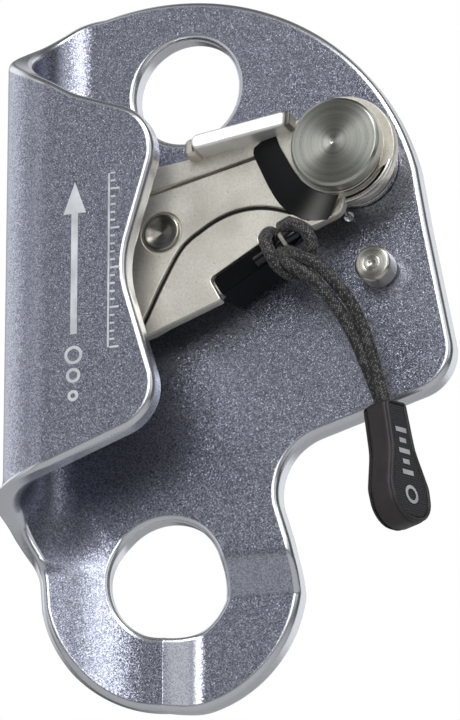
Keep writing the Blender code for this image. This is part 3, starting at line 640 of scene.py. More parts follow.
def turned_steel(name, base, centre):
    """Lathe-turned face: fine concentric lines about a Y axis through centre, in millimetres."""
    n = Nodes(name)
    where = n.coords()
    shift = n.vector("SUBTRACT", where, (centre[0] * MM, 0.0, centre[1] * MM))
    flat = n.vector("MULTIPLY", shift, (1.0, 0.0, 1.0))
    distance = n.add("VectorMath", {0: flat}, operation="LENGTH").outputs["Value"]
    steps = n.add("CombineXYZ", {"X": distance}).outputs[0]
    lines = n.noise(steps, 5200.0, 3.0, 0.7)
    wide = n.noise(steps, 1200.0, 1.0)
    fine = n.noise(where, 3000.0, 2.0)
    shade = n.mix(n.spread(wide, 0.35, 0.65), scaled(base, 0.75), base)
    n.out(
        Base_Color=n.mix(n.spread(fine, 0.3, 0.7, 0.0, 0.3), shade, scaled(base, 0.6)),
        Roughness=n.spread(lines, 0.3, 0.7, 0.24, 0.36),
        Metallic=1.0,
        Anisotropic=0.8,
        Anisotropic_Rotation=0.25,
        Tangent=n.add("Tangent", direction_type="RADIAL", axis="Y").outputs[0],
        Normal=n.bump(lines, 0.12, 0.00005),
    )
    return n.material


def grained(name, base, second, grain, rough, cloud, bump, **rest):
    """Plain material: fine grain, and clouds (scale, reach about 0.5, share) of a second tone."""
    n = Nodes(name)
    where = n.coords()
    fine = n.noise(where, grain, 3.0, 0.6)
    scale, reach, share = cloud
    clouds = n.spread(n.noise(where, scale, 2.0), 0.5 - reach, 0.5 + reach, 0.0, share)
    n.out(
        Base_Color=n.mix(clouds, base, second),
        Roughness=n.spread(fine, 0.3, 0.7, *rough),
        Normal=n.bump(fine, bump, 0.00008),
        **rest,
    )
    return n.material


def plain_metal(name, base, rough, metallic=1.0):
    roughs, cloud = (rough * 0.85, rough * 1.2), (200.0, 0.2, 0.6)
    return grained(name, base, scaled(base, 0.72), 1600.0, roughs, cloud, 0.12, Metallic=metallic)


def dark_plastic(name, base, rough, grain, bump, shine=0.5):
    roughs, cloud = (rough * 0.85, rough * 1.15), (260.0, 0.15, 0.7)
    second = scaled(base, 1.6)
    return grained(name, base, second, grain, roughs, cloud, bump, Specular_IOR_Level=shine)


def shaded_steel():
    """Polished slope beside the hub, coloured near-black as painted shade, with a lighter band as
    painted highlight where the shade attribute is high.
    """
    n = Nodes("shaded_steel")
    fine = n.noise(n.coords(), 2200.0, 3.0, 0.6)
    n.out(
        Base_Color=n.mix(n.attribute("shade"), (0.025, 0.025, 0.026), (0.3, 0.29, 0.28)),
        Roughness=n.spread(fine, 0.3, 0.7, 0.28, 0.36),
        Metallic=0.95,
        Normal=n.bump(fine, 0.08, 0.00005),
    )
    return n.material


def braid_look():
    """Black sheath; the crowns of some threads are grey and brown."""
    n = Nodes("black_braid")
    fibre = n.noise(n.coords(), 9000.0, 2.0)
    fleck = n.mix(n.attribute("tone"), (0.022, 0.02, 0.021), (0.3, 0.28, 0.27))
    body = n.mix(n.spread(n.attribute("crown"), 0.45, 0.95), (0.004, 0.004, 0.005), fleck)
    n.out(
        Base_Color=n.mix(n.spread(fibre, 0.35, 0.65, 0.0, 0.35), body, (0.01, 0.01, 0.011)),
        Roughness=0.62,
        Sheen_Weight=0.25,
        Sheen_Roughness=0.4,
        Normal=n.bump(fibre, 0.3, 0.00005),
    )
    return n.material


def webbing_look():
    """Black cloth whose thread crowns are a little lighter."""
    n = Nodes("tab_webbing")
    fibre = n.noise(n.coords(), 7000.0, 2.0)
    crown = n.spread(n.attribute("crown"), 0.2, 0.95)
    body = n.mix(crown, (0.004, 0.004, 0.005), (0.05, 0.05, 0.053))
    colour = n.mix(n.spread(fibre, 0.3, 0.7, 0.0, 0.4), body, (0.015, 0.015, 0.016))
    n.out(Base_Color=colour, Roughness=0.75, Normal=n.bump(fibre, 0.3, 0.00005))
    return n.material


# Frame plate


def frame_outline():
    """Outline of the unrolled plate: flange on the left, then lobe, right side and top."""
    flange = [
        (FLANGE_START - 3.7, 35.6, 12.0),
        (FLANGE_START - 19.1, 29.8, 8.5),
        (FLANGE_START - 12.1, 6.0, 16.0),
        (FLANGE_START - 19.3, -18.4, 7.5),
        (FLANGE_START - 2.7, -24.4, 14.0),
        (CHANNEL_X - 14.0, -30.3, 7.0),
        (CHANNEL_X - 8.0, -38.2, 7.0),
    ]
    lobe = []
    for x, z in arc(LOBE_CENTRE, LOBE_R, 190, 376.5, 84):
        left = max(0.0, (LOBE_CENTRE[0] - x) / LOBE_R)
        lobe.append((x - LOBE_FULLER * left, z))
    right = [(14.2, -21.6, 9.0), (46.3, -12.4, 7.0), (41.3, 14.0, 14.0)]
    top = arc(TOP_CENTRE, TOP_R, 14, 103, 60)
    shoulder = [(CHANNEL_X - 2.5, 54.8, 10.0)]
    return rounded(flange + sharp(lobe) + right + sharp(top) + shoulder)


def ramp(t, soft):
    """From 0 to 1: a straight slope with a round start and a round end."""
    start, end = soft
    t = np.clip(t, 0.0, 1.0)
    slope = 1 / (1 - start / 2 - end / 2)
    rise = np.where(t < start, t * t / (2 * start), t - start / 2) * slope
    return np.where(t > 1 - end, 1 - slope * (1 - t) ** 2 / (2 * end), rise)


def bend(points):
    """Maps points of the flat plate (length, depth, z) to the bent plate."""
    length, depth, z = points[:, 0], points[:, 1], points[:, 2]
    t = np.clip((CURL_FROM_Z - z) / (CURL_FROM_Z - CURL_TO_Z), 0, 1)
    change = t * t * (3 - 2 * t)
    start = CHANNEL_X + (LOBE_CURL_X - CHANNEL_X) * change
    radius = CHANNEL_NEUTRAL + (LOBE_CURL_R - CHANNEL_NEUTRAL) * change
    limit = math.pi + (LOBE_CURL_ANGLE - math.pi) * change
    past = np.maximum(0.0, start - length)
    angle = np.minimum(past / radius, limit)
    straight = past - radius * angle
    x = np.where(past > 0, start - radius * np.sin(angle) - straight * np.cos(angle), length)
    y = -PLATE / 2 - radius * (1 - np.cos(angle)) - straight * np.sin(angle)
    outward = PLATE / 2 + depth
    x = x - np.sin(angle) * outward
    y = y + np.cos(angle) * outward
    right = (length - SETBACK_X[0]) / (SETBACK_X[1] - SETBACK_X[0])
    low = (z - SETBACK_Z[0]) / (SETBACK_Z[1] - SETBACK_Z[0])
    y = y + SETBACK * ramp(right, SETBACK_X_SOFT) * ramp(low, SETBACK_Z_SOFT)
    return np.stack([x, y, z], 1)


def stepped_hole(outer, inner, depth):
    """Rings of a counterbored hole, from the rear: as edge_rings, with small flat borders."""
    step = outer - inner
    edge = 0.12
    floor_y = -depth - 0.02
    return [
        (0.0, step + edge, 0.0, 1.0, 0.0),
        (-edge, step, 1.0, 0.0, 1.0),
        (-depth, step, 1.0, 0.0, 1.0),
        (floor_y, step - 0.02, 0.0, 1.0, 1.0),
        (floor_y, edge, 0.0, 1.0, 1.0),
        (floor_y - edge, 0.0, 1.0, 0.0, 1.0),
        (-PLATE + edge, 0.0, 1.0, 0.0, 1.0),
        (-PLATE, edge, 0.0, -1.0, 0.0),
    ]


def frame_skin(look):
    """The bent plate, cut finely enough to follow every bend."""
    column_runs = [
        np.arange(FLANGE_START - 18.0, FLANGE_START, 4.0),
        np.linspace(FLANGE_START, CHANNEL_X, 61),
        np.arange(-14.0, -4.0, 0.6),
        np.arange(-4.0, 4.2, 0.25),
        np.arange(5.0, 44.0, 4.5),
    ]
    row_runs = [
        np.arange(-60.0, -46.0, 1.5),
        np.arange(-46.0, -44.0, 0.55),
        np.arange(-44.0, -36.0, 0.25),
        np.arange(-36.0, -24.0, 0.55),
        np.arange(-23.0, 56.0, 4.5),
    ]
    holes = [
        (UPPER_EYE, UPPER_EYE_R, 120, None),
        (LOWER_EYE, LOWER_EYE_R, 120, None),
        (PIVOT, 4.3, 72, stepped_hole(6.5, 4.3, 1.6)),
        (PEG, 2.2, 56, stepped_hole(3.9, 2.2, 1.6)),
        (SPRING_FOOT, 0.8, 32, stepped_hole(0.95, 0.8, 0.3)),
    ]
    cuts = (np.concatenate(column_runs), np.concatenate(row_runs))
    verts, faces, normals, marks = plate(
        frame_outline(), -PLATE, 0.0, EDGE_ROUND, holes, *cuts, bend
    )
    x, z = verts[:, 0], verts[:, 2]
    inset = np.minimum(x - SETBACK_X[0], SETBACK_X[1] - x)
    upright = np.clip(inset / SLOPE_FADE, 0.0, 1.0) * (z < LOWER_EYE[1])
    inset = np.minimum(SETBACK_Z[0] - z, z - SETBACK_Z[1])
    level = np.clip(inset / SLOPE_FADE, 0.0, 1.0) * (x > LOWER_EYE[0])
    # The setback slopes get part of the edges' light polish colour as painted sheen.
    marks = np.maximum(marks, SLOPE_SHINE_UPRIGHT * upright + SLOPE_SHINE_LEVEL * level)
    made = (verts, faces, normals, marks)
    plate_piece("frame_plate", "frame", look, made, ["frame_shell"], "blasted_aluminium")


def flange_print(look):
    """Plain arrow, rings and gauge marks printed on the flange's outer face."""
    film = Film(FLANGE_FRONT_Y - FILM_GAP)
    left, gauge, neck = -10.4, -4.4, 15.2
    film.bar(left, -4.6, left, neck, 0.55)
    film.add([(left - 1.9, neck), (left + 1.9, neck), (left, 20.4)])
    for i in range(3):
        radius = 1.5 - 0.3 * i
        film.ring((left, -8.0 - 3.3 * i), radius, radius - 0.5, 40)
    for i in range(23):
        z = -7.4 + 1.3 * i
        film.bar(gauge, z, gauge + (1.5 if i % 5 == 0 else 0.8), z, 0.16)
    film.bar(gauge - 0.25, -7.4, gauge - 0.25, 21.2, 0.16)
    new_piece("flange_print", "frame", look, film.verts, film.faces)


# Axle and peg


def add_lathe(name, body, look, points, centre, replaces, slot, steps=120, soft=0.3):
    """Turned piece from (radius, y) points, as round_profile takes them."""
    verts, faces = lathe(round_profile(points, soft), centre, steps)
    new_piece(name, body, look, verts, faces, replaces, slot, TURNED_SHARP)


def add_ring(name, body, look, node, inner, centre, slot="bright_steel", steps=96, soft=0.14):
    """Ring in place of a CAD ring, with its Y span, its outer radius and rounded corners."""
    y0, y1 = span_y(node)
    outer = radius_of(node)
    corners = [(inner, y0), (outer, y0), (outer, y1), (inner, y1)]
    profile = []
    for i, corner in enumerate(corners):
        profile += round_profile([corners[i - 1], corner, corners[(i + 1) % 4]], soft)[1:-1]
    verts, faces = lathe(profile, centre, steps)
    new_piece(name, body, look, verts, faces, [node], slot, TURNED_SHARP)


def axle_parts(head_look, steel, bronze):
    """Headed axle, its washers and tail ring, and the sleeve that the cam turns on."""
    front, rear = HEAD_Y + HEAD_SINK, span_y("front_washer")[0] - 0.25
    shank = 4.0
    head = [(0.0, front + 0.28), (0.35, front + 0.26), (0.5, front + 0.12)]
    head += [(HEAD_R - 0.42, front), (HEAD_R, front + 0.42), (HEAD_R, rear, SHARP)]
    head += [(shank, rear, SHARP), (shank, -0.6), (3.4, -0.1), (0.6, -0.1), (0.0, -0.35)]
    add_lathe(
        "axle_head", "frame", head_look, head, HEAD_MIDDLE, ["main_axle"], "turned_steel", soft=0.12
    )
    add_ring("washer_front", "frame", steel, "front_washer", 4.3, PIVOT)
    add_ring("washer_rear", "frame", steel, "rear_washer", 4.3, PIVOT)
    add_ring("sleeve_ring", "cam", bronze, "axle_sleeve", 4.2, PIVOT, "bearing_bronze")
    add_ring("axle_tail", "frame", head_look, "axle_tail_ring", 4.2, PIVOT, "turned_steel")


def peg_parts(look, tail_look):
    """Stop peg with a turned face, and the ring behind the plate."""
    top, foot, shank = PEG_TOP_Y, -PLATE - 0.3, 1.9
    peg = [(0.0, top + 0.38), (0.3, top + 0.3), (0.62, top + 0.02), (1.2, top)]
    peg += [(1.32, top + 0.1), (1.44, top), (PEG_R - 0.4, top), (PEG_R - 0.06, top + 0.3)]
    peg += [(PEG_R, top + 0.6), (PEG_R, foot - 0.45), (PEG_R - 0.35, foot)]
    peg += [(shank, foot, SHARP), (shank, -0.5), (1.5, -0.1), (0.0, -0.1)]
    add_lathe("peg", "frame", look, peg, PEG, ["stop_peg"], "bright_steel", 96, 0.16)
    add_ring("peg_tail", "frame", tail_look, "peg_tail_ring", 2.1, PEG, steps=72)


# Cam


ARCH = [
    *((-4.9, -5.4), (-4.5, -4.2), (-2.2, -0.2), (0.6, 5.5), (3.8, 10.9), (7.2, 13.5)),
    *((10.5, 15.2), (13.9, 16.0), (17.5, 15.9), (21.0, 14.9), (25.0, 13.2)),
]
GROOVE_HALF = 0.34
BOSS_R = 8.9
HUB_FRONT_Y = -13.25


def arch_side(distance):
    """The step line across the cheek, moved sideways."""
    path = even_path(smooth_path([(x, 0.0, z) for x, z in ARCH], 12), 0.5)
    ahead = np.gradient(path, axis=0)
    ahead /= np.linalg.norm(ahead, axis=1)[:, None]
    side = np.stack([ahead[:, 2], ahead[:, 0] * 0, -ahead[:, 0]], 1)
    moved = path + side * distance
    return [(p[0], p[2]) for p in moved]


def cheek_lower():
    """Lower edge of the cheek, from its tooth end to the hub."""
    reach = 4.2
    corners = [
        (*spiral(SPIRAL_TO, 3.0), 0.0),
        (-1.6, -2.7, 0.3),
        (*catch_point(-1.9, -1.6), 0.3),
        (*catch_point(-1.75, BLOCK_ACROSS[1] + 0.3), 0.8),
        (*catch_point(CATCH_LENGTH + 0.5, BLOCK_ACROSS[1] + 0.3), 0.3),
        (*nose_point(0.8, reach), 0.9),
        (*nose_point(3.3, reach - 0.5), 0.5),
        (*nose_point(3.6, 2.7), 0.25),
        (*nose_point(4.3, 3.9), 0.6),
        (*nose_point(7.0, 3.6), 1.2),
        (*nose_point(8.5, 0.6), 0.8),
        (*nose_point(8.7, -0.1), 0.3),
        (30.8, 13.9, 2.5),
    ]
    hidden = [(30.2, 20.0, 0.0), (10.0, 20.0, 0.0)]
    return rounded(corners + hidden, 9.0)[: -len(hidden)]


def tooth_line():
    """Toothed outer line of the cam, from its low end up."""
    rows = 9
    pitch = (SPIRAL_TO - SPIRAL_FROM) / rows
    line = []
    for i in range(rows):
        low = SPIRAL_TO - pitch * i
        line.append(spiral(low, 1.1))
        line += [spiral(low - share * pitch, 0.05) for share in (0.22, 0.34)]
    return line + [spiral(SPIRAL_FROM, 1.1)]


def cam_parts(steel, smooth, dark):
    """Front cheek in two heights with a groove between, toothed rim, rear arm and web."""
    lower = cheek_lower()
    seam = [(20.5, 25.1), (-12.6, 17.6)]
    face = [spiral(a, 3.0) for a in np.linspace(SPIRAL_FROM, SPIRAL_TO, 14)]
    hub = arc(PIVOT, BOSS_R, -38, 100, 40)
    bore = (PIVOT, AXLE_HOLE_R, 64, None)
    front, rear = CHEEK_Y
    step = 0.55
    whole = seam + face + lower[1:] + hub
    rivet_bore = (CAM_RIVET, 1.8, 40, None)
    layers = [plate(whole, front + step - 0.05, rear, 0.3, [bore, rivet_bore], segments=3)]
    upper = seam + face[:-1] + arch_side(-GROOVE_HALF) + hub[6:]
    rivet_seat = (CAM_RIVET, 3.35, 64, None)
    layers.append(plate(upper, front, front + step, 0.2, [bore, rivet_seat], segments=4))
    low_edge = arch_side(GROOVE_HALF)
    first = next(i for i, p in enumerate(lower) if p[0] > low_edge[0][0] + 0.4)
    pad = low_edge[3:] + lower[first:][::-1][8:]
    layers.append(plate(pad, front + 0.06, front + step, 0.2, segments=4))
    teeth = tooth_line()
    inner = [spiral(a, 5.0) for a in np.linspace(SPIRAL_FROM, SPIRAL_TO, 12)]
    root = [spiral(a, 0.95) for a in np.linspace(SPIRAL_TO, SPIRAL_FROM, 20)]
    rim_front, rim_rear = -16.2, -6.0
    slices = 4
    width = (rim_rear - rim_front) / slices
    for i in range(slices):
        y = rim_front + width * i
        layers.append(plate(teeth + inner, y, y + width, 0.42, segments=2))
    layers.append(plate(root + inner, rim_front + 0.2, rim_rear - 0.2, 0.2, segments=1))
    arm = [(*spiral(SPIRAL_FROM + 0.01, 3.6), 0.0), (*spiral(0.36, 3.6), 0.0)]
    arm += [(4.0, 9.0, 6.0), (22.6, 18.4, 2.0)] + sharp(arc(PIVOT, 6.8, -138, 104, 48))
    layers.append(plate(rounded(arm), -7.4, -5.6, 0.3, [bore], segments=3))
    web = [(*spiral(0.35, 3.3), 0.0), (*spiral(SPIRAL_TO - 0.01, 3.4), 0.0), (-1.7, -2.1, 0.0)]
    web += sharp(arc(CATCH_PIN, 0.9, 10, 90, 10)) + [(2.0, 8.0, 3.0)]
    layers.append(plate(rounded(web), rear - 0.3, -8.6, 0.25, segments=2))
    plate_piece("cam_block", "cam", steel, joined(layers), ["cam_body"], "cast_steel")
    groove_parts(smooth, dark)


def groove_parts(smooth, dark):
    """Floor of the cheek's groove and a slot round the boss, both near-black as painted shade, and
    the bright ring round the boss.
    """
    front = CHEEK_Y[0]
    one, other = arch_side(-0.24), arch_side(0.2)
    floor_verts = [(x, front + 0.34, z) for x, z in one + other[::-1]]
    last = len(floor_verts) - 1
    floor_faces = [(k, k + 1, last - k - 1, last - k) for k in range(len(one) - 1)]
    new_piece("arch_line", "cam", dark, floor_verts, floor_faces)
    rim = [(BOSS_R, front + 0.3), (BOSS_R, front - 0.35), (8.45, front - 0.5)]
    rim += [(8.25, front - 0.1), (8.2, front + 0.3)]
    verts, faces = partial_lathe(round_profile(rim, 0.12), PIVOT, -84, -18, 50)
    new_piece("boss_rim", "cam", smooth, verts, faces, crease=50)
    slot = [(8.25, front - 0.06), (7.85, front - 0.06), (7.8, front + 0.2)]
    verts, faces = partial_lathe(slot, PIVOT, -84, -26, 50)
    new_piece("boss_slot", "cam", dark, verts, faces, crease=50)


def rivet_parts(look):
    front, seat = CHEEK_Y[0] - 0.25, CHEEK_Y[0] + 0.4
    shank, rear = 1.6, -8.9
    dish = [(0.0, front + 0.6), (0.5, front + 0.55), (1.7, front + 0.36), (2.5, front + 0.06)]
    dish += [(2.78, front), (3.0, front + 0.16), (3.0, seat, SHARP)]
    dish += [(shank, seat, SHARP), (shank, rear), (0.0, rear)]
    add_lathe("dished_rivet", "cam", look, dish, CAM_RIVET, ["cam_rivet"], "cast_steel", 96)
    add_ring(
        "rivet_collar", "cam", look, "cam_rivet_collar", 1.8, CAM_RIVET, "cast_steel", 64, 0.2
    )


HUB_LOW = [
    *((15.9, 26.0), (15.9, 24.7), (17.2, 21.7), (18.6, 18.7)),
    *((20.2, 16.1), (22.2, 14.2), (25.2, 12.9), (28.1, 12.6)),
]
HUB_HIGH = [
    *((19.4, 28.4), (20.5, 25.3), (21.5, 23.4), (22.7, 21.2)),
    *((24.1, 19.2), (25.9, 17.6), (28.1, 16.6), (30.2, 16.3)),
]


def lever_parts(steel, smooth, dark, end_look):
    """Web of the lever with its hub, and the thumb ledge with its bent and its cut end."""
    front, rear = CHEEK_Y
    web = [(-12.4, 18.2, 0.0), (19.5, 25.5, 0.0), (20.8, 30.2, 2.0)]
    web = rounded(web + [(6.2, 28.4, 1.5), (5.2, 25.6, 0.8), (-10.0, 23.4, 2.0)])
    hub_outline = HUB_HIGH + arc(PIVOT, 7.3, -90, 98, 60)
    bore = (PIVOT, AXLE_HOLE_R, 64, None)
    hub = plate(hub_outline, HUB_FRONT_Y, front + 0.4, 0.22, [bore], segments=4)
    layers = [plate(web, front, rear, 0.28, segments=4), hub]
    plate_piece("lever_plate", "cam", steel, joined(layers), ["thumb_lever"], "cast_steel")
    ledge_rear = rear - 0.2
    ledge = rounded([(7.0, 25.5, 0.9), (22.3, 27.6, 0.6), (22.5, 30.1, 0.8), (6.6, 27.9, 1.1)], 9.0)
    verts, faces, normals, marks = plate(ledge, -16.5, ledge_rear, 0.5, segments=6)
    crown = np.array(Matrix.Rotation(math.radians(16.0), 3, "Z"))
    plate_piece("lever_ledge", "cam", smooth, (verts, faces, normals @ crown.T, marks))
    turned_end = rounded([(5.3, 24.9, 0.6), (7.3, 25.1, 0.3), (7.0, 28.1, 0.5), (5.3, 27.7, 0.8)])
    plate_piece("ledge_bend", "cam", steel, plate(turned_end, -15.3, ledge_rear, 0.6, segments=6))
    cut_end = rounded([(22.2, 27.5, 0.2), (23.1, 27.9, 0.2), (23.2, 29.9, 0.4), (22.3, 30.2, 0.2)])
    plate_piece("ledge_end", "cam", end_look, plate(cut_end, -16.2, ledge_rear, 0.3, segments=4))
    hub_ramp(dark, front)


def hub_ramp(look, front):
    """Hollow slope from the web up to the hub."""
    columns, rows = 60, 8
    at = np.linspace(0, 1, columns)
    lines = []
    for points, y in ((HUB_LOW, front - 0.01), (HUB_HIGH, HUB_FRONT_Y + 0.15)):
        line = even_path(smooth_path([(x, y, z) for x, z in points], 8), 0.3)
        run = np.linspace(0, 1, len(line))
        lines.append(np.stack([np.interp(at, run, line[:, k]) for k in range(3)], 1))
    low, high = lines
    grid = []
    for share in np.linspace(0, 1, rows):
        line = low * (1 - share) + high * share
        line[:, 1] = low[:, 1] + (high[:, 1] - low[:, 1]) * (share**1.5)
        grid.append(line)
    verts, faces = np.concatenate(grid), grid_faces(rows, columns)
    ramp_piece = new_piece("hub_ramp", "cam", look, verts, faces, crease=50)
    # Painted highlight: a light band near the slope's right end; elsewhere the slope keeps its
    # painted shade.
    painted_gleam = np.exp(-(((at - 0.86) / 0.09) ** 2))
    give_attribute(ramp_piece, "shade", np.tile(painted_gleam, rows))


def coil(centre, radius, y_from, y_to, start, turns):
    steps = round(abs(turns) * 48)
    points = []
    for i in range(steps + 1):
        a = math.radians(start) + 2 * math.pi * turns * i / steps
        y = y_from + (y_to - y_from) * i / steps
        points.append((centre[0] + radius * math.cos(a), y, centre[1] + radius * math.sin(a)))
    return points


def spring_parts(look):
    """Return spring between frame and cam, and the catch's spring inside its block."""
    turns = coil(PIVOT, 6.0, -9.8, -7.95, 90, -1.54)
    foot = [(28.3, -7.6, 16.9)] + [(SPRING_FOOT[0], y, SPRING_FOOT[1]) for y in (-6.2, -4.0, -1.0)]
    arm = [(14.5, -9.8, 26.6), (19.0, -9.8, 27.8)]
    path = even_path(smooth_path(arm + turns[2:] + foot, 3), 0.25)
    verts, faces = sweep(path, 0.42, 20)
    main = new_piece("return_spring", None, look, verts, faces, ["cam_spring"], "bright_steel", 60)
    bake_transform(main)
    small = even_path(coil(CATCH_PIN, 0.95, -8.25, -7.5, 200, 1.5), 0.08)
    verts, faces = sweep(small, 0.17, 14)
    new_piece("small_spring", "catch", look, verts, faces, ["catch_spring"], "bright_steel", 60)


# Catch


def nose_lathe(profile, steps=64):
    """Body turned about the catch's nose, from (radius, place along) points."""
    across = Vector((-math.sin(CATCH_TILT), 0, math.cos(CATCH_TILT)))
    rows = []
    for r, along in profile:
        x, z = nose_point(along)
        for k in range(steps):
            a = 2 * math.pi * k / steps
            turn = across * math.cos(a) + Vector((0, -1, 0)) * math.sin(a)
            rows.append(tuple(Vector((x, NOSE_Y, z)) + turn * r))
    return merge_points(rows, grid_faces(len(profile), steps, columns_closed=True))


def catch_parts(look, gloss, steel, ring_look):
    """Black block, round nose with its metal ring, and the hinge pin."""
    (back, tip), (under, top) = BLOCK_ALONG, BLOCK_ACROSS
    corners = [(back, top, 1.0), (back, under, 0.6), (tip, under, 0.5), (tip, top, 0.5)]
    outline = rounded([(*catch_point(a, b), r) for a, b, r in corners], 8.0)
    made = plate(outline, *BLOCK_Y, 0.3, segments=4)
    plate_piece("catch_block", "catch", look, made, ["safety_catch"], "black_catch")
    nose = [(0.0, -1.5), (0.85, -1.5), (0.85, 4.3), (1.4, 4.32), (1.62, 4.5), (1.62, 6.7)]
    nose += [(1.5, 7.1), (1.15, 7.4), (0.6, 7.55), (0.0, 7.6)]
    new_piece("catch_nose", "catch", gloss, *nose_lathe(nose), crease=40)
    ring = [(1.0, 3.75), (1.5, 3.75), (1.65, 3.85), (1.65, 4.4), (1.5, 4.5), (1.0, 4.5)]
    made = nose_lathe(ring + ring[:1])
    new_piece("nose_ring", "catch", ring_look, *made, ["catch_sleeve"], "bright_steel", crease=40)
    y0, y1 = span_y("catch_pin")
    pin = [(0.0, y0), (0.75, y0), (0.75, y1), (0.0, y1)]
    add_lathe("hinge_pin", "cam", steel, pin, CATCH_PIN, ["catch_pin"], "bright_steel", 40, 0.12)


# Cord


STRAND_R = 1.0
BRAID_PITCH = 0.5
BRAID_STRANDS = 12
BRAID_SIDES = 44
BRAID_SPACING = 0.07

LEFT_TURN = [
    *((20.3, -11.3, 10.6), (18.8, -12.0, 11.7), (18.4, -13.6, 11.0), (18.7, -15.0, 9.2)),
    *((19.6, -15.3, 7.2), (20.5, -14.8, 5.4), (21.9, -13.8, 4.2), (23.2, -12.5, 4.3)),
    (24.1, -11.5, 5.5),
]
NOOSE = [
    *((20.2, -12.0, 10.7), (21.2, -13.3, 11.5), (22.8, -14.7, 11.6), (24.7, -15.3, 10.9)),
    *((25.9, -15.1, 9.35), (26.1, -14.5, 7.55), (25.1, -13.6, 6.1), (23.0, -12.5, 5.9)),
    (21.1, -11.7, 7.4),
]
UPPER_STRAND = [
    *((21.4, -12.4, 8.6), (22.4, -14.0, 7.5), (24.5, -15.4, 6.0), (27.4, -15.3, 4.4)),
    *((29.55, -14.5, 1.9), (31.9, -13.3, -1.4), (33.4, -12.1, -5.1), (34.55, -11.3, -9.0)),
    *((35.4, -10.7, -13.0), (36.3, -10.4, -17.0), (36.5, -10.2, -19.5)),
]
LOWER_STRAND = [
    *((20.4, -12.6, 8.2), (21.3, -14.2, 7.2), (23.0, -15.6, 4.9), (25.8, -15.2, 2.9)),
    *((28.2, -14.4, 0.1), (30.25, -13.2, -3.0), (31.9, -12.0, -6.5), (33.3, -11.0, -10.4)),
    *((34.3, -10.1, -13.5), (35.3, -9.2, -16.9), (35.6, -9.2, -19.5)),
]


def braid(path, radius, random):
    """Braided cord along a path: verts, faces, crown height and thread tone of each point."""
    line = even_path(path, BRAID_SPACING)
    run = np.arange(len(line))[:, None] * BRAID_SPACING
    around = np.arange(BRAID_SIDES)[None, :] / BRAID_SIDES
    a = run / BRAID_PITCH + around * BRAID_STRANDS
    b = run / BRAID_PITCH - around * BRAID_STRANDS
    fa, fb = a - np.floor(a), b - np.floor(b)
    ia, ib = np.floor(a).astype(int), np.floor(b).astype(int)
    over = (ia + ib) % 2 == 0
    across = np.where(over, fa, fb) - 0.5
    along = np.where(over, fb, fa) - 0.5
    crown = np.clip(1 - (across / 0.5) ** 2, 0, 1) ** 0.6 * np.clip(1 - (along / 0.62) ** 2, 0, 1)
    radii = radius - 0.1 + 0.13 * crown
    chance = random.random((97, 89))
    light = np.where(chance < 0.55, 0.45 + chance, 0.0)
    tone = light[ia % 97, ib % 89]
    verts, faces = sweep(line, radii, BRAID_SIDES)
    return verts, faces, crown.ravel(), tone.ravel()


def cord_piece(name, body, look, made, node):
    verts, faces, crown, tone = made
    piece = new_piece(name, body, look, verts, faces, [node], "black_braid")
    give_attribute(piece, "crown", crown)
    give_attribute(piece, "tone", tone)
    return piece


def cord_parts(look):
    """Two turns and two strands in one piece."""
    random = np.random.default_rng(7)
    paths = (LEFT_TURN, NOOSE, UPPER_STRAND, LOWER_STRAND)
    runs = [braid(smooth_path(anchors, 14), STRAND_R, random) for anchors in paths]
    verts, faces, crown, tone = joined(runs)
    piece = cord_piece("braided_cord", None, look, (verts, faces, crown, tone), "pull_cord")
    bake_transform(piece)


# Tab


def tab_outline(inset=0.0):
    half = [(2.5, 0.0, 1.0), (2.9, -8.0, 8.0), (4.8, -14.0, 3.5), (4.4, -20.0, 4.2)]
    outline = rounded(half + [(-x, z, r) for x, z, r in reversed(half)], 8.0)
    normals, stretch = outline_normals(outline)
    p = np.array(outline) - normals * (inset / stretch)[:, None]
    return [tuple(q) for q in p]


TAB_TURN = Matrix.Rotation(-TAB_TILT, 3, "Y") @ Matrix.Rotation(TAB_YAW, 3, "Z")
TAB_TOP = CORD_END + Vector((0.05, 0, -0.5))


def on_tab(points):
    """Points of the upright tab, placed at the end of the cord."""
    return np.asarray(points) @ np.array(TAB_TURN).T + np.array(TAB_TOP)


def tab_parts(rubber, weave, mark, cord_look):
    """Rubber body with a lip round each face, the two woven faces and the knot inside."""
    half = TAB_THICK / 2
    parts = [plate(tab_outline(), -half + 0.35, half - 0.35, 0.9, segments=6)]
    for side in (-1, 1):
        lip = (tab_outline(0.12), tab_outline(0.75))
        parts.append(rim_band(*lip, side * (half - 0.5), side * half))
    verts, faces, normals, marks = joined(parts)
    made = (on_tab(verts), faces, normals @ np.array(TAB_TURN).T, marks)
    plate_piece("rubber_tab", "tab", rubber, made, ["tab_body"], "tab_rubber")
    for side, end in ((-1, "front"), (1, "back")):
        verts, faces, crown = woven_patch(tab_outline(0.85), side, half)
        name, node = "woven_" + end, "tab_face_" + end
        piece = new_piece(name, "tab", weave, on_tab(verts), faces, [node], "tab_webbing")
        give_attribute(piece, "crown", crown)
        tab_print(name + "_mark", mark, side * (half - 0.15))
    knot = [(0, 0.0, 1.2), (0.2, 0.1, -1.0), (0, 0, -3.5), (0, 0, -6.4)]
    verts, *rest = braid(smooth_path(knot, 8), 1.2, np.random.default_rng(11))
    cord_piece("tab_knot", "tab", cord_look, (on_tab(verts), *rest), "cord_knot")


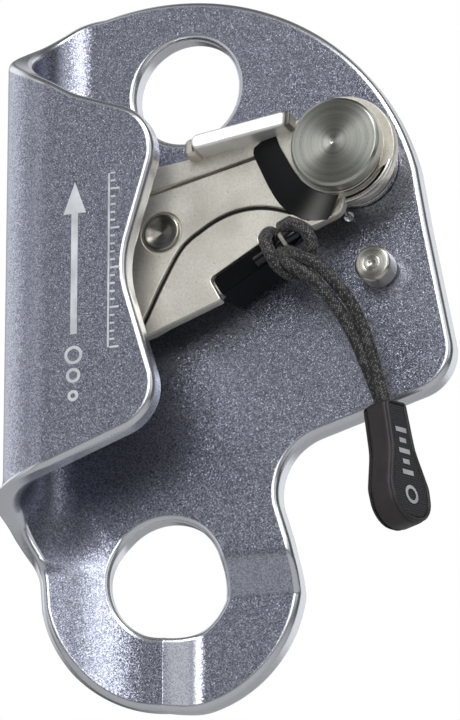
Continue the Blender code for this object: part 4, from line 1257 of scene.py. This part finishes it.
def rim_band(outer, inner, y_low, y_high):
    """Raised lip between two outlines; a rounded ridge."""
    steps = 6
    o, i = np.array(outer), np.array(inner)
    count = len(o)
    nearest = i[np.argmin(((o[:, None] - i[None]) ** 2).sum(-1), axis=1)]
    outward = o - nearest
    outward = outward / (np.linalg.norm(outward, axis=1)[:, None] + 1e-9)
    sign = 1 if y_high > y_low else -1
    verts, normals = [], []
    for k in range(steps + 1):
        a = math.pi * k / steps
        share, rise = (1 - math.cos(a)) / 2, math.sin(a)
        flat = o * (1 - share) + nearest * share
        y = y_low + (y_high - y_low) * rise
        verts.append(np.stack([flat[:, 0], np.full(count, y), flat[:, 1]], 1))
        plane = outward * math.cos(a)
        normals.append(np.stack([plane[:, 0], np.full(count, sign * rise), plane[:, 1]], 1))
    faces = grid_faces(steps + 1, count, columns_closed=True)
    if y_high > y_low:
        faces = [quad[::-1] for quad in faces]
    verts = np.concatenate(verts)
    return verts, faces, np.concatenate(normals), np.zeros(len(verts))


def inside(points, outline):
    """Whether each point lies inside a closed outline."""
    x, z = points[:, 0], points[:, 1]
    result = np.zeros(len(points), bool)
    p = np.array(outline)
    q = np.roll(p, -1, 0)
    for (x0, z0), (x1, z1) in zip(p, q):
        crosses = (z0 > z) != (z1 > z)
        at = (x1 - x0) * (z - z0) / (z1 - z0 + 1e-12) + x0
        result ^= crosses & (x < at)
    return result


def woven_patch(outline, side, half):
    """Plain-weave cloth in the tab's recess, clipped to an outline."""
    fine = 0.07
    xs = np.arange(-5.0, 5.0 + fine, fine)
    zs = np.arange(-20.5, 0.5, fine)
    gx, gz = np.meshgrid(xs, zs, indexing="ij")
    pitch = 0.42
    a, b = gx / pitch, gz / pitch
    over = (np.floor(a) + np.floor(b)).astype(int) % 2 == 0
    fa, fb = a - np.floor(a) - 0.5, b - np.floor(b) - 0.5
    across = np.where(over, fa, fb)
    along = np.where(over, fb, fa)
    crown = np.sqrt(np.clip(1 - (across / 0.52) ** 2, 0, 1)) * (1 - 0.63 * (along / 0.5) ** 2)
    y = side * (half - 0.34 + 0.16 * crown)
    flat = np.stack([gx.ravel(), gz.ravel()], 1)
    keep = inside(flat, outline).reshape(gx.shape)
    index = -np.ones(gx.size, int)
    faces = []
    full = keep[:-1, :-1] & keep[1:, :-1] & keep[:-1, 1:] & keep[1:, 1:]
    cols = len(zs)
    for i, j in np.argwhere(full):
        a0 = i * cols + j
        quad = [a0, a0 + 1, a0 + cols + 1, a0 + cols]
        faces.append(quad if side < 0 else quad[::-1])
    used = np.unique(np.array(faces))
    index[used] = np.arange(len(used))
    verts = np.stack([gx.ravel(), y.ravel(), gz.ravel()], 1)[used]
    faces = index[np.array(faces)].tolist()
    return verts, faces, crown.ravel()[used]


def tab_print(name, look, y):
    """Light woven-in marks: a row of blocks and a ring."""
    film = Film(y)
    for i in range(5):
        top = -4.6 - 1.75 * i
        wide = 1.3 if i % 2 == 0 else 0.8
        film.add([(-wide, top), (wide, top), (wide, top - 0.8), (-wide, top - 0.8)])
    film.ring((0.0, -15.6), 1.5, 0.95, 36)
    new_piece(name, "tab", look, on_tab(film.verts), film.faces)


# Build


aluminium = blasted_aluminium()
cast = cast_steel()
head_look = turned_steel("turned_steel", (0.52, 0.52, 0.47), HEAD_MIDDLE)
rivet_look = turned_steel("rivet_steel", (0.5, 0.47, 0.41), CAM_RIVET)
peg_look = turned_steel("peg_steel", (0.72, 0.69, 0.62), PEG)
bright = plain_metal("bright_steel", (0.74, 0.72, 0.67), 0.24)
# Thumb ledge: the lever's steel made near-white, partly as a painted highlight.
ledge_look = plain_metal("ledge_highlight_steel", (0.95, 0.94, 0.92), 0.4, 0.6)
cream = plain_metal("cream_ring", (0.5, 0.48, 0.42), 0.3, 0.8)
bronze = plain_metal("bearing_bronze", (0.45, 0.32, 0.16), 0.35)
# Near-black colour painted as shade in the cheek's groove and the slot round the boss.
painted_shade_steel = plain_metal("painted_shade_steel", (0.03, 0.03, 0.03), 0.3, 0.9)
# Plain darker steel for the thumb ledge's cut end.
dark_end_steel = plain_metal("dark_end_steel", (0.2, 0.19, 0.17), 0.4, 0.8)
ramp_look = shaded_steel()
black = dark_plastic("black_catch", (0.002, 0.002, 0.003), 0.36, 2600.0, 0.12, 0.1)
gloss = dark_plastic("gloss_black", (0.004, 0.004, 0.005), 0.12, 900.0, 0.03)
rubber = dark_plastic("tab_rubber", (0.022, 0.018, 0.018), 0.5, 3400.0, 0.35)
ink = dark_plastic("print_grey", (0.55, 0.56, 0.58), 0.5, 2600.0, 0.2)
thread = dark_plastic("thread_grey", (0.35, 0.35, 0.36), 0.7, 5200.0, 0.4)
cord_look = braid_look()
weave = webbing_look()

frame_skin(aluminium)
flange_print(ink)
axle_parts(head_look, bright, bronze)
peg_parts(peg_look, bright)
cam_parts(cast, bright, painted_shade_steel)
rivet_parts(rivet_look)
lever_parts(cast, ledge_look, ramp_look, dark_end_steel)
spring_parts(bright)
catch_parts(black, gloss, bright, cream)
cord_parts(cord_look)
tab_parts(rubber, weave, thread, cord_look)


# Studio


def direction(azimuth, elevation):
    a, e = math.radians(azimuth), math.radians(elevation)
    return Vector((math.sin(a) * math.cos(e), -math.cos(a) * math.cos(e), math.sin(e)))


CAMERA_AZIMUTH = 20.5
CAMERA_ELEVATION = -18.0
CAMERA_TARGET = Vector((9.48, -6.0, -6.2)) * MM
CAMERA_DISTANCE = 0.8


def aimed(data, towards, distance):
    """Object with the given data, at a distance in metres, that looks back along towards."""
    thing = bpy.data.objects.new(data.name, data)
    thing.location = towards * distance
    thing.rotation_euler = (-towards).to_track_quat("-Z", "Y").to_euler()
    bpy.context.scene.collection.objects.link(thing)
    return thing


def add_camera():
    data = bpy.data.cameras.new("camera")
    data.sensor_fit = "AUTO"
    data.sensor_width = 24.0
    data.lens = 170.667
    data.clip_start = 0.01
    camera = aimed(data, direction(CAMERA_AZIMUTH, CAMERA_ELEVATION), CAMERA_DISTANCE)
    camera.location += CAMERA_TARGET
    bpy.context.scene.camera = camera


def add_key():
    """The one lamp: a soft box 1 m away, above and to the right."""
    data = bpy.data.lights.new("key", "AREA")
    data.shape = "RECTANGLE"
    data.size, data.size_y = 0.4, 0.3
    data.energy = 4.0
    aimed(data, direction(35.0, 45.0), 1.0)


def studio_world():
    """White backdrop for the camera; soft boxes by azimuth and elevation for everything else."""
    world = bpy.data.worlds.new("studio")
    world.use_nodes = True
    g = Graph(world.node_tree)
    g.tree.nodes.clear()

    def band(value, low, high, soft):
        """1 between low and high, falling smoothly to 0 outside."""
        smooth = {"interpolation_type": "SMOOTHSTEP"}
        rise = g.spread(value, low - soft, low + soft, **smooth)
        fall = g.spread(value, high + soft, high - soft, **smooth)
        return g.math("MULTIPLY", rise, fall)

    way = g.add("TexCoord").outputs["Generated"]
    x, y, z = g.add("SeparateXYZ", {0: way}).outputs
    azimuth = g.math("ARCTAN2", x, g.math("MULTIPLY", y, -1.0))
    azimuth = g.math("MULTIPLY", azimuth, 180 / math.pi)
    elevation = g.math("MULTIPLY", g.math("ARCSINE", z), 180 / math.pi)
    total = WORLD_BASE
    for az0, az1, el0, el1, soft, strength in WORLD_BOXES:
        box = g.math("MULTIPLY", band(azimuth, az0, az1, soft), band(elevation, el0, el1, soft))
        total = g.math("ADD", total, g.math("MULTIPLY", box, strength))
    seen = g.add("LightPath").outputs["Is Camera Ray"]
    studio = g.add("Background", {"Color": (0.96, 0.98, 1.0, 1.0), "Strength": total})
    backdrop = g.add("Background", {"Color": (1.0, 1.0, 1.0, 1.0), "Strength": 1.0})
    mixed = g.add("MixShader", {0: seen, 1: studio.outputs[0], 2: backdrop.outputs[0]})
    g.add("OutputWorld", {"Surface": mixed.outputs[0]})
    bpy.context.scene.world = world


# Light from everywhere, then boxes: azimuths, elevations and soft border in degrees, strength
WORLD_BASE = 0.04
WORLD_BOXES = [
    (-30, -10, 8, 60, 10, 0.12),
    (-80, -30, -20, 55, 7, 0.5),
    (-50, -34, -20, 50, 5, 0.3),
    (-4, 26, 4, 42, 5, 3.5),
    (28, 42, 0, 42, 4, 0.3),
    (44, 72, 0, 42, 6, 0.85),
    (-140, -80, 0, 60, 12, 1.15),
    (130, 180, -25, 60, 12, 1.0),
    (-180, -160, -25, 60, 12, 0.8),
    (-60, 60, -80, -30, 12, 0.1),
]

add_camera()
studio_world()
add_key()
bpy.context.scene.view_settings.view_transform = "Standard"

# Floor, transparent from below, because the camera looks up past it
FLOOR_HALF = 1500
FLOOR_Z = -420
n = Nodes("floor")
underside = n.add("NewGeometry").outputs["Backfacing"]
n.out(Base_Color=(0.68, 0.68, 0.68, 1.0), Roughness=0.8, Alpha=n.math("SUBTRACT", 1.0, underside))
floor_mesh = bpy.data.meshes.new("floor")
corners = [(-1, -1), (1, -1), (1, 1), (-1, 1)]
floor_verts = [Vector((x * FLOOR_HALF, y * FLOOR_HALF, FLOOR_Z)) * MM for x, y in corners]
floor_mesh.from_pydata([tuple(v) for v in floor_verts], [], [(0, 1, 2, 3)])
floor_mesh.materials.append(n.material)
floor = bpy.data.objects.new("floor", floor_mesh)
bpy.context.scene.collection.objects.link(floor)
